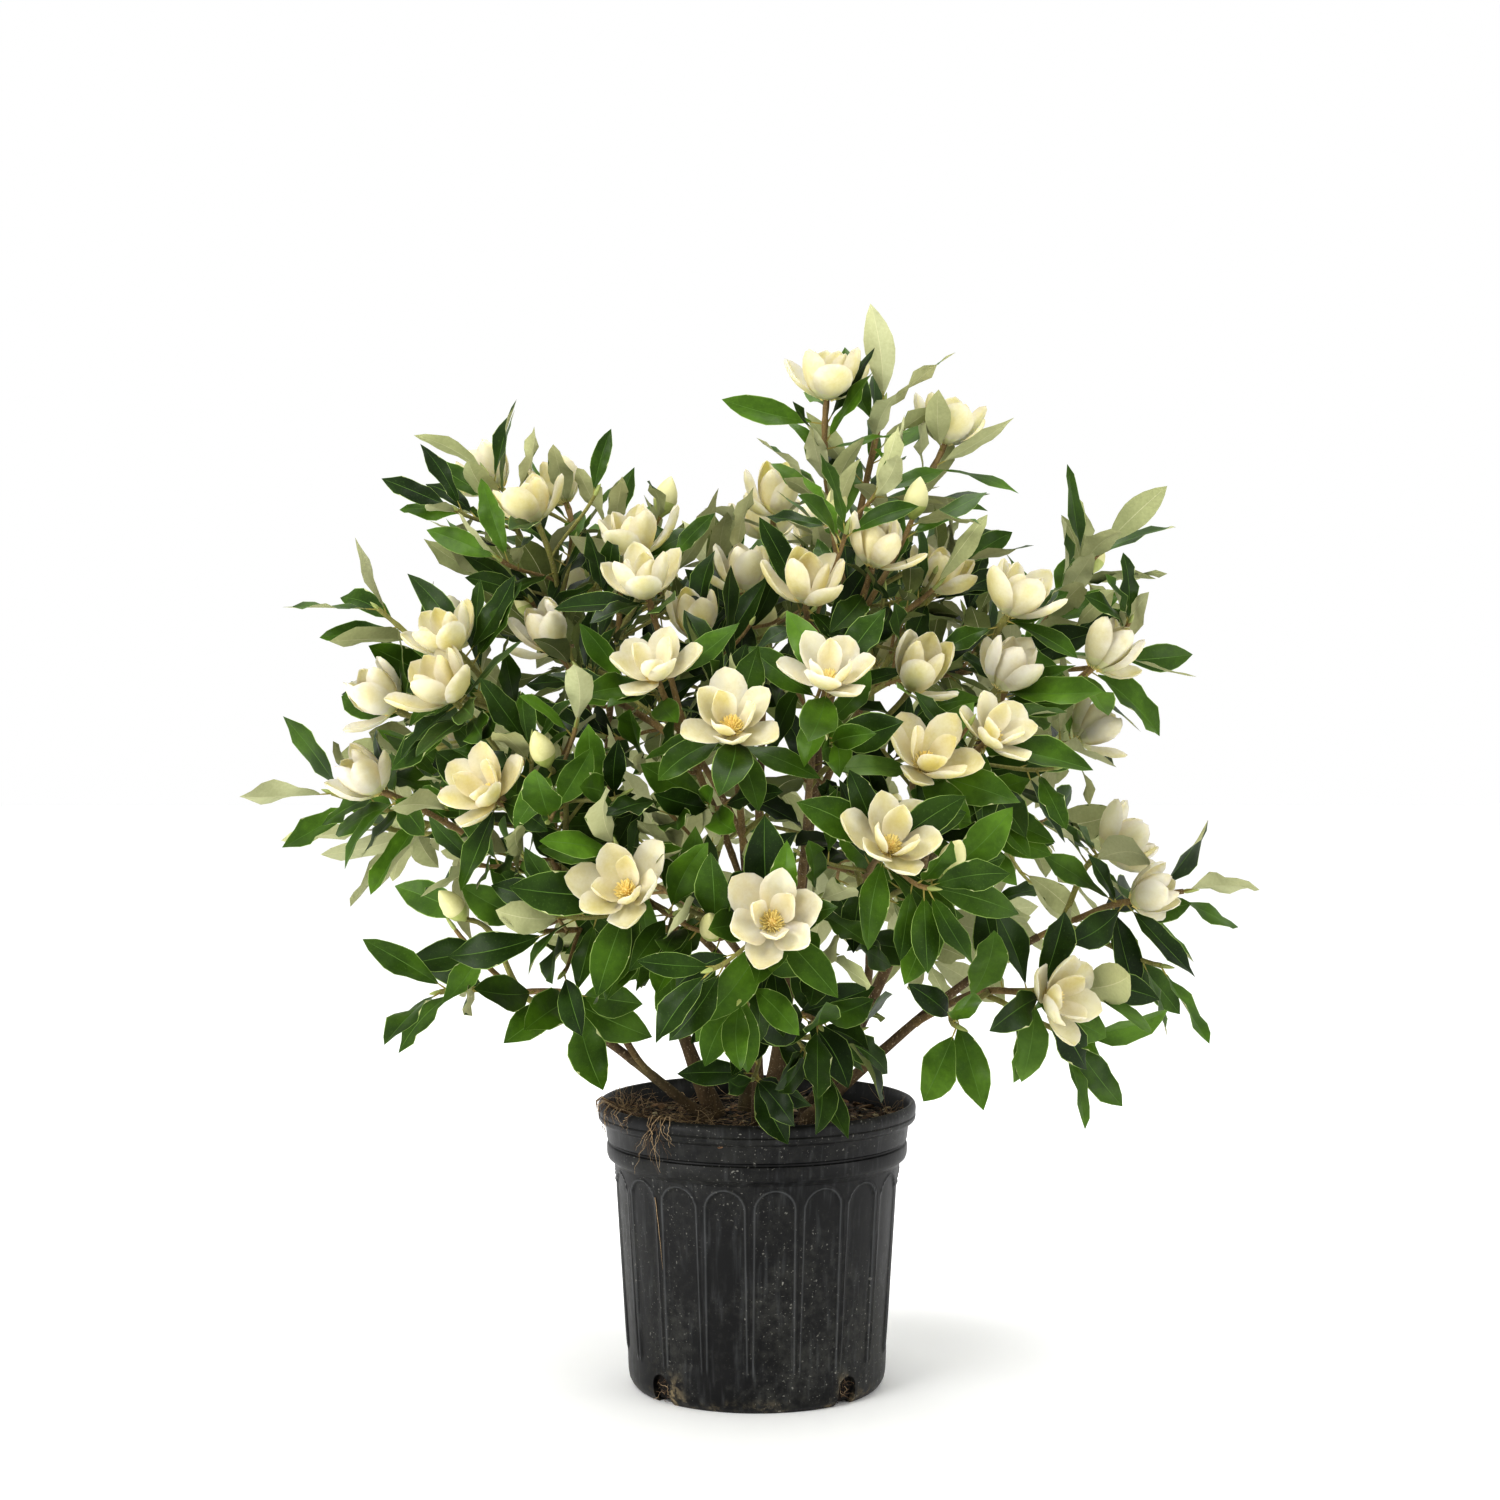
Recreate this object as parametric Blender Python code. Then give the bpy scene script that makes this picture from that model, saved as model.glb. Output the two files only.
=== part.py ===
# Potted sweetbay magnolia: a many-stemmed flowering shrub in a black nursery pot.
# Metres, +Z up. The origin is the centre of the pot's flat underside, and the front faces -Y.
# Stems rise from the soil, boughs leave the stems, and each mass of foliage grows on from one limb.

import math
import random

import bmesh
import bpy
from mathutils import Vector
from mathutils.bvhtree import BVHTree
from mathutils.kdtree import KDTree

CM = 0.01
GAP = 0.0003  # between solids that rest on each other

# Pot
POT_HEIGHT = 0.252
LIP_RADIUS = 0.1403
LIP_DEPTH = 0.021
COLLAR_RADIUS = 0.1326
COLLAR_LOW = 0.200
BODY_TOP_RADIUS = 0.1258
BODY_LOW_RADIUS = 0.1144
BODY_LOW = 0.030
FOOT_RADIUS = 0.1085
FOOT_EDGE = 0.009  # height of the slope that rounds the foot
WALL = 0.0024
FLUTES = 18
FLUTE_DEPTH = 0.0011
FLUTE_LOW = 0.034
FLUTE_SHOULDER = 0.175
FLUTE_TOP = 0.190
FLUTE_TURN = math.radians(-83)  # bearing of one flute's middle, just right of the front
FLUTE_COLUMNS = 3
COLUMNS = FLUTE_COLUMNS * FLUTES
FLAT = (0.0, 0.0, 0.0)  # how far each of a flute's columns is set in
DIPPED = (0.0, FLUTE_DEPTH, FLUTE_DEPTH)
DRAIN_HOLES = 4
DRAIN_TURN = math.radians(-47)
DRAIN_WIDTH = 0.020
DRAIN_HEIGHT = 0.026
DRAIN_REACH = 0.034
DRAIN_ARCH_STEPS = 4
SHARP_EDGE = math.radians(35)

# Soil
SOIL_TOP = 0.234
SOIL_CLEAR = 2 * GAP

# Limbs
FLARE = 1.55  # foot radius over stem radius
FLARE_HEIGHT = 0.030
TAPER = 0.8
BOW = 0.34  # how strongly a path keeps to its first and last directions
STEM_SIDES = 7
STEM_RINGS = 7
BOUGH_SIDES = 5
BOUGH_RINGS = 5
BOUGH_TO_STEM = 0.74  # a bough's foot radius over that of the stem where it leaves
BOUGH_FOLLOWS = 0.7  # how far a bough first leans along its stem
SEAT_GAP = 0.00036  # between a stem and what leaves it
LIMB_END_RADIUS = 0.0031
STEM_SHARE = 0.66  # of the way from the soil to a stem's tip, where it enters its mass
BOUGH_SHARE = 0.46  # of the way from its stem to a bough's tip, where it enters its mass
LIMB_SHARP_EDGE = math.radians(80)

# Twigs
HEART = Vector((0.0, 0.0, 0.40))  # every shoot ends pointing away from here
TWIG_SIDES = 3
LONG_TWIG = 0.12  # a twig over this length has one more ring
TWIG_RADIUS = 0.0029
TWIG_END_RADIUS = 0.0020
FIRST_SIDE = 0.10  # of the main shoot of a mass, where the first side shoot leaves
NEXT_SIDE = 0.16
FILL_SHARE = 0.18  # of the main shoot, where a short twig leaves to fill the mass
FILL_REACH = (0.075, 0.105)
FILL_AHEAD = 0.62
FILL_ASIDE = 0.80
FILL_LIFT = 0.02

# Leaves
LEAF_LENGTH = 0.094
LEAF_WIDTH = 0.042
LEAF_SIZES = (0.86, 1.12)
LEAF_WIDEST = 0.52  # of its length
LEAF_FOLD = 0.028  # of its length, between its midrib and its flat upper side
LEAF_SUNK = 0.0003
LEAF_SAG = -0.10
GOLDEN_TURN = math.radians(137.5)
LEAF_CROWDING = 1.5  # leaves crowd towards the tip of their shoot
FIRST_LEAF = 0.2  # how far down its own share of the shoot each leaf stands
LEAST_LEAFY = 0.02
BARE_FOOT = 0.035  # of a shoot, without leaves
BARE_NECK = 0.006  # below a bloom
TUFT_LEAVES = 5  # at least
TUFT_PITCH = 0.019
TUFT_LEAN = (30, 76)  # degrees from the shoot, at its tip and at its foot
BLOOM_LEAVES = 3
BLOOM_PITCH = 0.028
BLOOM_LEAN = (70, 82)
LEAN_SPREAD = 12
# What a leaf may take where its place isn't free: degrees round the shoot, degrees of lean, size
LEAF_TRIES = [(0, 0, 1.0), (28, -6, 1.0), (-28, 6, 0.95), (56, 6, 0.9), (-56, -8, 0.9), (90, 0, 0.85)]
LEAF_ROUNDS = 3  # the leaves nearest each tip take their place first
CLEAR = 0.0012  # kept between a leaf and everything else
SPACE_SLACK = 0.015  # how far a leaf may reach over the border of its mass
SAME_POINT_DIGITS = 7  # of a metre

# Blooms: how many petals, how far their bellies and their tips open from the axis (degrees), length
BLOOMS = {
    "open": (6, 66, 60, 0.042),
    "cup": (5, 46, 30, 0.041),
    "half": (4, 32, 14, 0.039),
}
BELLY = 0.52  # of a petal's length, where it bulges most
NOTCH = 0.70  # of a petal's length, where it parts from the next
PETAL_THICKNESS = 0.0026
BLOOM_SUNK = 0.003
STAMEN_HEIGHT = 0.013
BUD_SIDES = 5
BUD_PROFILE = [(-0.004, 0), (0.012, 0.0085), (0.026, 0.0060), (0.036, 0)]  # height, radius

# Stems: where each leaves the soil (cm), how far it leans out at the foot (degrees), its foot radius
STEMS = {
    "stem_leader": ((1.2, 0.8), 8, 0.0076),
    "stem_right": ((4.3, 0.6), 34, 0.0066),
    "stem_left": ((-3.6, 1.3), 24, 0.0066),
    "stem_front": ((0.3, -3.2), 30, 0.0058),
    "stem_low_left": ((-4.1, -2.0), 52, 0.0052),
    "stem_low_right": ((4.0, -3.0), 46, 0.0056),
    "stem_back": ((-0.8, 4.2), 16, 0.0062),
}

# Masses that grow on from a stem: the stem, the tip (cm), what it ends in, and the side shoots as
# (tip, what it ends in). A tuft is a ring of leaves with no bloom.
STEM_MASSES = {
    "leaves_leader": ("stem_leader", (11, 0, 86), "tuft",
                      [((6, -4, 86.5), "cup"), ((16.5, 1, 83), "cup"), ((13, 4, 78), "tuft")]),
    "leaves_right_top": ("stem_right", (30, 0, 73.5), "tuft",
                         [((21, -12, 68), "cup"), ((32, -3, 64.5), "tuft")]),
    "leaves_left_top": ("stem_left", (-23.5, 0, 80), "tuft",
                        [((-19, -5, 76), "cup"), ((-17, 4, 78), "half")]),
    "leaves_front_centre": ("stem_front", (-2, -30, 59), "open", [((1, -20, 52), "tuft")]),
    "leaves_left_low": ("stem_low_left", (-26.5, -14, 36.5), "tuft",
                        [((-24, -18, 43), "bud"), ((-15, -23, 37), "tuft")]),
    "leaves_right_mid": ("stem_low_right", (37, -4, 44), "tuft",
                         [((30.5, -1, 47), "cup"), ((32, -8, 43.5), "half")]),
    "leaves_back_high": ("stem_back", (1, 15, 75), "cup", [((-4, 20, 66), "open")]),
}

# Boughs: the stem, how far up its bare part the bough leaves it, then its mass in the same order
BOUGHS = {
    "bough_top_front": ("stem_leader", 0.80, "leaves_top_front", (9.5, -16, 72), "half",
                        [((4, -18, 69), "cup"), ((13, -11, 76), "bud"), ((6.5, -11, 76), "bud")]),
    "bough_top_right": ("stem_leader", 0.92, "leaves_top_right", (17, -2, 72), "tuft",
                        [((15, -7, 70), "cup")]),
    "bough_left_inner": ("stem_left", 0.78, "leaves_left_inner", (-13, -2, 75.5), "tuft",
                         [((-10, -9, 73), "cup"), ((-8, 3, 71), "tuft")]),
    "bough_centre": ("stem_back", 0.74, "leaves_centre", (-3, 0, 70.5), "tuft",
                     [((-1, -7, 70), "half"), ((-5, -12, 66), "half")]),
    "bough_left_up": ("stem_left", 0.60, "leaves_left_up", (-33, -2, 68.5), "tuft",
                      [((-25, -14, 65), "cup"), ((-30.5, -11, 60), "half")]),
    "bough_far_left": ("stem_left", 0.40, "leaves_far_left", (-37, -3, 52.5), "tuft",
                       [((-32, -9, 53), "half"), ((-33, 3, 49), "tuft")]),
    "bough_left_front": ("stem_low_left", 0.40, "leaves_left_front", (-21, -26, 53.5), "open",
                         [((-25, -18, 61), "cup"), ((-16.5, -27, 56), "bud")]),
    "bough_front_left": ("stem_front", 0.42, "leaves_front_left", (-10, -33, 46.5), "open",
                         [((-17, -27, 43), "tuft")]),
    "bough_front_low": ("stem_front", 0.56, "leaves_front_low", (1, -36, 44.5), "open",
                        [((-3.5, -33, 43), "bud")]),
    "bough_front_right": ("stem_right", 0.22, "leaves_front_right", (10, -34, 50), "open",
                          [((14.5, -32, 48), "bud")]),
    "bough_left_face": ("stem_front", 0.80, "leaves_left_face", (-8, -26, 63), "open",
                        [((-9, -18, 69.5), "cup"), ((-17, -11, 65), "half")]),
    "bough_right_face": ("stem_leader", 0.45, "leaves_right_face", (5.5, -28, 62.5), "open",
                         [((12.5, -19, 62), "half")]),
    "bough_right_front": ("stem_right", 0.50, "leaves_right_front", (18.5, -24, 58), "open",
                          [((13, -27, 56), "open")]),
    "bough_right_low": ("stem_low_right", 0.50, "leaves_right_low", (23.5, -22, 37), "open",
                        [((26, -15, 33), "tuft"), ((16, -24, 35), "tuft")]),
    "bough_right_up": ("stem_right", 0.78, "leaves_right_up", (28.5, -9, 63.5), "half",
                       [((28, -2, 57), "half"), ((20, -14, 62), "half")]),
    "bough_back_left_high": ("stem_back", 0.60, "leaves_back_left_high", (-15, 14, 70), "cup",
                             [((-20, 10, 66), "tuft")]),
    "bough_back_right_high": ("stem_leader", 0.62, "leaves_back_right_high", (16, 14, 71), "open",
                              [((22, 9, 66), "tuft")]),
    "bough_back_left": ("stem_left", 0.50, "leaves_back_left", (-27, 18, 55), "open",
                        [((-31, 9, 60), "cup")]),
    "bough_back_right": ("stem_right", 0.42, "leaves_back_right", (27, 19, 56), "open",
                         [((27, 13, 49), "tuft")]),
    "bough_back_low_left": ("stem_back", 0.34, "leaves_back_low_left", (-16, 29, 44), "open",
                            [((-7, 31, 53), "cup")]),
    "bough_back_low_right": ("stem_back", 0.46, "leaves_back_low_right", (13, 31, 46), "open",
                             [((21, 25, 38), "tuft")]),
}

# One mass has no bough: its own twig leaves the stem, and it has no side shoots
LOW_FRONT = ("stem_front", 0.26, "leaves_low_front", (5, -24, 35), "tuft")


def vector_cm(place):
    return Vector(place) * CM


def chance(*words):
    """A fixed value from 0 to 1 that belongs to these words."""
    return random.Random("-".join(str(word) for word in words)).random()


def between(ends, share):
    return ends[0] + (ends[1] - ends[0]) * share


def spread(first, last, count):
    return [between((first, last), i / (count - 1)) for i in range(count)]


def outward(place):
    return (place - HEART).normalized()


def around(way):
    """Two directions square to this one and to each other."""
    side = way.orthogonal().normalized()
    return side, way.cross(side)


class Path:
    """A cubic curve from one place to another, with the direction at each end."""

    def __init__(self, start, start_way, end, end_way):
        reach = (end - start).length * BOW
        first_pull = start + start_way.normalized() * reach
        last_pull = end - end_way.normalized() * reach
        self.knots = (start, first_pull, last_pull, end)

    def point(self, share):
        a, b, c, d = self.knots
        rest = 1 - share
        return a * rest**3 + b * 3 * rest**2 * share + c * 3 * rest * share**2 + d * share**3

    def way(self, share):
        a, b, c, d = self.knots
        rest = 1 - share
        return ((b - a) * rest**2 + (c - b) * 2 * rest * share + (d - c) * share**2).normalized()

    def length(self, first=0.0, last=1.0):
        places = [self.point(share) for share in spread(first, last, 13)]
        return sum((b - a).length for a, b in zip(places, places[1:]))


# Solids are (corners, faces) until they become meshes


def facing_out(corners, faces):
    """The solid with its faces turned outwards."""
    volume = 0.0
    for face in faces:
        for second, third in zip(face[1:], face[2:]):
            volume += corners[face[0]].dot(corners[second].cross(corners[third]))
    if volume < 0:
        faces = [tuple(reversed(face)) for face in faces]
    return corners, faces


def tube(path, shares, radii, sides, foot_level=None):
    """A tapering limb with flat ends, its rings carried along the path without twist.

    With a foot level, the first ring lies level at that height instead of square to the path.
    """
    corners = []
    across = path.way(shares[0]).orthogonal().normalized()
    for share, radius in zip(shares, radii):
        way = path.way(share)
        across = (across - way * across.dot(way)).normalized()
        other = way.cross(across)
        for side in range(sides):
            turn = math.tau * side / sides
            radial = across * math.cos(turn) + other * math.sin(turn)
            corners.append(path.point(share) + radial * radius)
    if foot_level is not None:
        way = path.way(shares[0])
        for side in range(sides):
            corners[side] += way * ((foot_level - corners[side].z) / way.z)
    faces = [tuple(range(sides)), tuple(range(len(corners) - 1, len(corners) - sides - 1, -1))]
    for ring in range(len(shares) - 1):
        for side in range(sides):
            a = ring * sides + side
            b = ring * sides + (side + 1) % sides
            faces.append((a, a + sides, b + sides))
            faces.append((a, b + sides, b))
    return facing_out(corners, faces)


def blade(root, along, normal, length, width):
    """A leaf folded along its midrib. Its edges rise to its middle, and a flat upper side joins them."""
    across = along.cross(normal).normalized()
    normal = across.cross(along).normalized()
    middle = root + along * (length * LEAF_WIDEST) + normal * (length * LEAF_FOLD)
    corners = [
        root - along * LEAF_SUNK,
        middle - across * (width / 2),
        middle + across * (width / 2),
        root + along * length,
    ]
    return facing_out(corners, [(0, 1, 2), (3, 2, 1), (0, 3, 1), (0, 2, 3)])


def bud_solid(place, way):
    """A small spindle that closes in a point at each end."""
    across, other = around(way)
    rings = BUD_PROFILE[1:-1]
    corners = [place + way * BUD_PROFILE[0][0], place + way * BUD_PROFILE[-1][0]]
    for height, radius in rings:
        for side in range(BUD_SIDES):
            turn = math.tau * side / BUD_SIDES
            radial = across * math.cos(turn) + other * math.sin(turn)
            corners.append(place + way * height + radial * radius)
    faces = []
    last = 2 + (len(rings) - 1) * BUD_SIDES
    for side in range(BUD_SIDES):
        beside = (side + 1) % BUD_SIDES
        faces.append((0, 2 + beside, 2 + side))
        faces.append((1, last + side, last + beside))
        for ring in range(len(rings) - 1):
            low = 2 + ring * BUD_SIDES
            high = low + BUD_SIDES
            faces.append((low + side, low + beside, high + beside))
            faces.append((low + side, high + beside, high + side))
    return facing_out(corners, faces)


def bowl_solid(kind, place, way):
    """A bowl whose rim is cut into petals, with a cone of stamens at its middle."""
    petals, belly_turn, tip_turn, length = BLOOMS[kind]
    across, other = around(way)

    def spot(petal, opening, reach, inner=0.0):
        turn = math.tau * petal / petals
        side = across * math.cos(turn) + other * math.sin(turn)
        opening = math.radians(opening)
        inward = way * math.sin(opening) - side * math.cos(opening)
        return place + (way * math.cos(opening) + side * math.sin(opening)) * reach + inward * inner

    corners = [place - way * BLOOM_SUNK, place + way * STAMEN_HEIGHT]
    for inner in (0.0, PETAL_THICKNESS):
        corners += [spot(petal, belly_turn, length * BELLY, inner) for petal in range(petals)]
    rim = len(corners)
    for petal in range(petals):
        corners.append(spot(petal, tip_turn, length))
        corners.append(spot(petal + 0.5, (belly_turn + tip_turn) / 2, length * NOTCH))
    faces = []
    for petal in range(petals):
        beside = (petal + 1) % petals
        tip = rim + 2 * petal
        notch = tip + 1
        next_tip = rim + 2 * beside
        for apex, ring in ((0, 2), (1, 2 + petals)):
            belly, next_belly = ring + petal, ring + beside
            some = [
                (apex, next_belly, belly),
                (belly, notch, tip),
                (belly, next_belly, notch),
                (next_belly, next_tip, notch),
            ]
            faces += some if apex == 0 else [tuple(reversed(face)) for face in some]
    return facing_out(corners, faces)


def bloom_solids(kind, place, way):
    if kind == "tuft":
        return []
    if kind == "bud":
        return [bud_solid(place, way)]
    return [bowl_solid(kind, place, way)]


class Limb:
    """A stem or a bough: the first part of a path, up to where it enters its mass."""

    def __init__(self, path, last, radii, sides, foot_level=None):
        self.path = path
        self.last = last
        self.radii = radii
        self.sides = sides
        self.foot_level = foot_level

    def solid(self, extra=0.0):
        shares = spread(0.0, self.last, len(self.radii))
        radii = [radius + extra for radius in self.radii]
        return tube(self.path, shares, radii, self.sides, self.foot_level)

    def radius(self, share):
        place = share * (len(self.radii) - 1)
        low = min(int(place), len(self.radii) - 2)
        return between(self.radii[low:low + 2], place - low)


class Shoot:
    """A leafy twig, from a first share of its path to the end, with what it ends in."""

    def __init__(self, name, path, first, radius, bloom):
        self.name = name
        self.path = path
        self.first = first
        self.radius = radius
        self.bloom = bloom
        self.length = path.length(first)

    def ring_shares(self):
        return spread(self.first, 1.0, 4 if self.length > LONG_TWIG else 3)

    def solid(self):
        shares = self.ring_shares()
        return tube(self.path, shares, spread(self.radius, TWIG_END_RADIUS, len(shares)), TWIG_SIDES)

    def tip_solids(self):
        return bloom_solids(self.bloom, self.path.point(1.0), self.path.way(1.0))

    def axis(self, share):
        """The place and the direction at this share, on the straight run between two rings."""
        shares = self.ring_shares()
        low, high = next(pair for pair in zip(shares, shares[1:]) if share <= pair[1])
        start = self.path.point(low)
        run = self.path.point(high) - start
        return start + run * ((share - low) / (high - low)), run.normalized()

    def skeleton(self):
        steps = max(2, round(self.length / CM))
        return [self.path.point(share) for share in spread(self.first, 1.0, steps)]


def with_side_shoots(mass_name, main, sides):
    """The main shoot of a mass and the shoots that leave it for their own tips."""
    shoots = [main]
    for i, (tip, bloom) in enumerate(sides):
        start, way = main.axis(between((main.first, 1.0), FIRST_SIDE + NEXT_SIDE * i))
        end = vector_cm(tip)
        path = Path(start, way + (end - start).normalized(), end, outward(end))
        shoots.append(Shoot(f"{mass_name}-side{i}", path, 0.0, TWIG_RADIUS, bloom))
    return shoots


def fill_twig(mass_name, main):
    """A short leafy twig that fills the mass near its foot."""
    start, way = main.axis(between((main.first, 1.0), FILL_SHARE))
    side, other = around(way)
    turn = math.tau * chance(mass_name, "fill")
    radial = side * math.cos(turn) + other * math.sin(turn)
    reach = between(FILL_REACH, chance(mass_name, 0, "reach"))
    end = start + (way * FILL_AHEAD + radial * FILL_ASIDE) * reach
    path = Path(start, way + radial, end, end - start + Vector((0, 0, FILL_LIFT)))
    return Shoot(f"{mass_name}-fill0", path, 0.0, TWIG_RADIUS, "tuft")


def leaf_choices(shoot):
    """For each leaf of a shoot, from the tip down: the blades it may take.

    The first is the one that the golden angle gives.
    """
    tuft = shoot.bloom == "tuft"
    leafy = max(LEAST_LEAFY, shoot.length - BARE_FOOT)
    if tuft:
        count = max(TUFT_LEAVES, round(leafy / TUFT_PITCH))
    else:
        count = max(BLOOM_LEAVES, round(leafy / BLOOM_PITCH))
    first_turn = math.tau * chance(shoot.name, "turn")
    leaves = []
    for leaf in range(count):
        from_tip = (leaf + FIRST_LEAF) / count
        down = from_tip**LEAF_CROWDING * leafy + (0.0 if tuft else BARE_NECK)
        place, way = shoot.axis(1.0 - (1.0 - shoot.first) * down / shoot.length)
        side, other = around(way)
        lean = between(TUFT_LEAN if tuft else BLOOM_LEAN, from_tip)
        lean += LEAN_SPREAD * (chance(shoot.name, leaf, "lean") - 0.5)
        size = between(LEAF_SIZES, chance(shoot.name, leaf, "size"))
        choices = []
        for more_turn, more_lean, smaller in LEAF_TRIES:
            turn = first_turn + leaf * GOLDEN_TURN + math.radians(more_turn)
            tilt = math.radians(lean + more_lean)
            radial = side * math.cos(turn) + other * math.sin(turn)
            along = way * math.cos(tilt) + radial * math.sin(tilt) + Vector((0, 0, LEAF_SAG))
            normal = way * math.sin(tilt) - radial * math.cos(tilt)
            scale = size * smaller
            choices.append(blade(place, along.normalized(), normal, LEAF_LENGTH * scale, LEAF_WIDTH * scale))
        leaves.append(choices)
    return leaves


def tree_of(solids):
    """One search tree over the faces of many solids."""
    corners, faces = [], []
    for some_corners, some_faces in solids:
        shift = len(corners)
        corners.extend(some_corners)
        faces.extend(tuple(corner + shift for corner in face) for face in some_faces)
    return BVHTree.FromPolygons(corners, faces) if faces else None


def points_tree(places):
    tree = KDTree(len(places))
    for i, place in enumerate(places):
        tree.insert(place, i)
    tree.balance()
    return tree


def touches(solid, tree):
    """Whether the solid, grown by the space that it keeps clear, meets a face of the tree."""
    if tree is None:
        return False
    corners, faces = solid
    middle = sum(corners, Vector()) / len(corners)
    grown = [corner + (corner - middle).normalized() * CLEAR for corner in corners]
    return bool(tree_of([(grown, faces)]).overlap(tree))


class Foliage:
    """The solids of every mass.

    A short twig or a leaf stays only where it keeps to its own mass and touches nothing else.
    """

    def __init__(self, shoots, obstacles):
        self.shoots = shoots
        self.obstacles = tree_of(obstacles)
        self.blooms = {}
        self.solids = {}
        self.leaves = {}
        self.own_points = {}
        every_place = []
        for name, some in shoots.items():
            self.blooms[name] = [solid for shoot in some for solid in shoot.tip_solids()]
            self.solids[name] = [shoot.solid() for shoot in some] + self.blooms[name]
            self.leaves[name] = []
            places = [place for shoot in some for place in shoot.skeleton()]
            self.own_points[name] = points_tree(places)
            every_place += places
        self.all_points = points_tree(every_place)

    def others_of(self, name):
        return tree_of([solid for other, some in self.solids.items() if other != name for solid in some])

    def in_own_space(self, name, place):
        own_distance = self.own_points[name].find(place)[2]
        return own_distance <= self.all_points.find(place)[2] + SPACE_SLACK

    def fits(self, name, solid, trees):
        tip = solid[0][-1]
        return self.in_own_space(name, tip) and not any(touches(solid, tree) for tree in trees)

    def add_fill_twig(self, name):
        twig = fill_twig(name, self.shoots[name][0])
        solid = twig.solid()
        if self.fits(name, solid, (self.others_of(name), self.obstacles, tree_of(self.blooms[name]))):
            self.solids[name].append(solid)
            return [twig]
        return []

    def add_leaf(self, name, choices, others, own_blooms):
        trees = (others, self.obstacles, own_blooms, tree_of(self.leaves[name]))
        for leaf in choices:
            if self.fits(name, leaf, trees):
                self.solids[name].append(leaf)
                self.leaves[name].append(leaf)
                return

    def grow(self):
        waiting = {}
        for name, some in self.shoots.items():
            leafy = some + self.add_fill_twig(name)
            waiting[name] = [leaf_choices(shoot) for shoot in leafy]
        for leaf_round in range(LEAF_ROUNDS):
            for name, leaves_by_shoot in waiting.items():
                others = self.others_of(name)
                own_blooms = tree_of(self.blooms[name])
                for leaves in leaves_by_shoot:
                    count = math.ceil(len(leaves) / LEAF_ROUNDS)
                    for choices in leaves[leaf_round * count:(leaf_round + 1) * count]:
                        self.add_leaf(name, choices, others, own_blooms)


def material(name, colour, roughness):
    made = bpy.data.materials.new(name)
    made.use_nodes = True
    shader = made.node_tree.nodes["Principled BSDF"]
    shader.inputs["Base Color"].default_value = (*colour, 1)
    shader.inputs["Roughness"].default_value = roughness
    made.diffuse_color = (*colour, 1)
    return made


def mesh_object(name, solid, finish=None):
    corners, faces = solid
    mesh = bpy.data.meshes.new(name)
    mesh.from_pydata(corners, [], faces)
    mesh.validate()
    made = bpy.data.objects.new(name, mesh)
    bpy.context.scene.collection.objects.link(made)
    if finish:
        mesh.materials.append(finish)
    return made


def remove_object(made):
    mesh = made.data
    bpy.data.objects.remove(made)
    bpy.data.meshes.remove(mesh)


def apply_modifiers(made):
    graph = bpy.context.evaluated_depsgraph_get()
    mesh = bpy.data.meshes.new_from_object(made.evaluated_get(graph))
    old = made.data
    made.modifiers.clear()
    made.data = mesh
    mesh.name = made.name
    bpy.data.meshes.remove(old)


def shells_of(mesh):
    """The faces of each separate shell with the volume it encloses, smallest first."""
    parent = list(range(len(mesh.polygons)))

    def root_of(face):
        while parent[face] != face:
            parent[face] = parent[parent[face]]
            face = parent[face]
        return face

    owner = {}
    for face in mesh.polygons:
        for edge in face.edge_keys:
            if edge in owner:
                parent[root_of(face.index)] = root_of(owner[edge])
            else:
                owner[edge] = face.index
    shells = {}
    for face in mesh.polygons:
        corners = [mesh.vertices[i].co for i in face.vertices]
        shell = shells.setdefault(root_of(face.index), [0.0, []])
        shell[0] += sum(corners[0].dot(b.cross(c)) for b, c in zip(corners[1:], corners[2:])) / 6
        shell[1].append(tuple(face.vertices))
    return sorted(shells.values(), key=lambda shell: shell[0])


def keep_largest_shell(made):
    """Fills sealed hollows and drops loose scraps: only the largest shell stays."""
    shells = shells_of(made.data)
    if len(shells) < 2:
        return
    kept = shells[-1][1]
    used = sorted({corner for face in kept for corner in face})
    place = {corner: i for i, corner in enumerate(used)}
    corners = [made.data.vertices[corner].co.copy() for corner in used]
    mesh = bpy.data.meshes.new(made.name)
    mesh.from_pydata(corners, [], [tuple(place[corner] for corner in face) for face in kept])
    for finish in made.data.materials:
        mesh.materials.append(finish)
    old = made.data
    made.data = mesh
    bpy.data.meshes.remove(old)


def close_triangles(made):
    """Splits the faces into triangles, and says whether every edge then lies between exactly two of them."""
    for method in ("BEAUTY", "EAR_CLIP"):
        shape = bmesh.new()
        shape.from_mesh(made.data)
        bmesh.ops.triangulate(shape, faces=shape.faces, ngon_method=method)
        shape.verts.index_update()
        places = [tuple(round(part, SAME_POINT_DIGITS) for part in vertex.co) for vertex in shape.verts]
        sides = []
        for face in shape.faces:
            a, b, c = (places[vertex.index] for vertex in face.verts)
            if a != b and b != c and c != a:
                sides += [(a, b), (b, c), (c, a)]
        once = set(sides)
        closed = len(once) == len(sides) and all((b, a) in once for a, b in sides)
        if closed:
            shape.to_mesh(made.data)
        shape.free()
        if closed:
            return True
    return False


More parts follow.
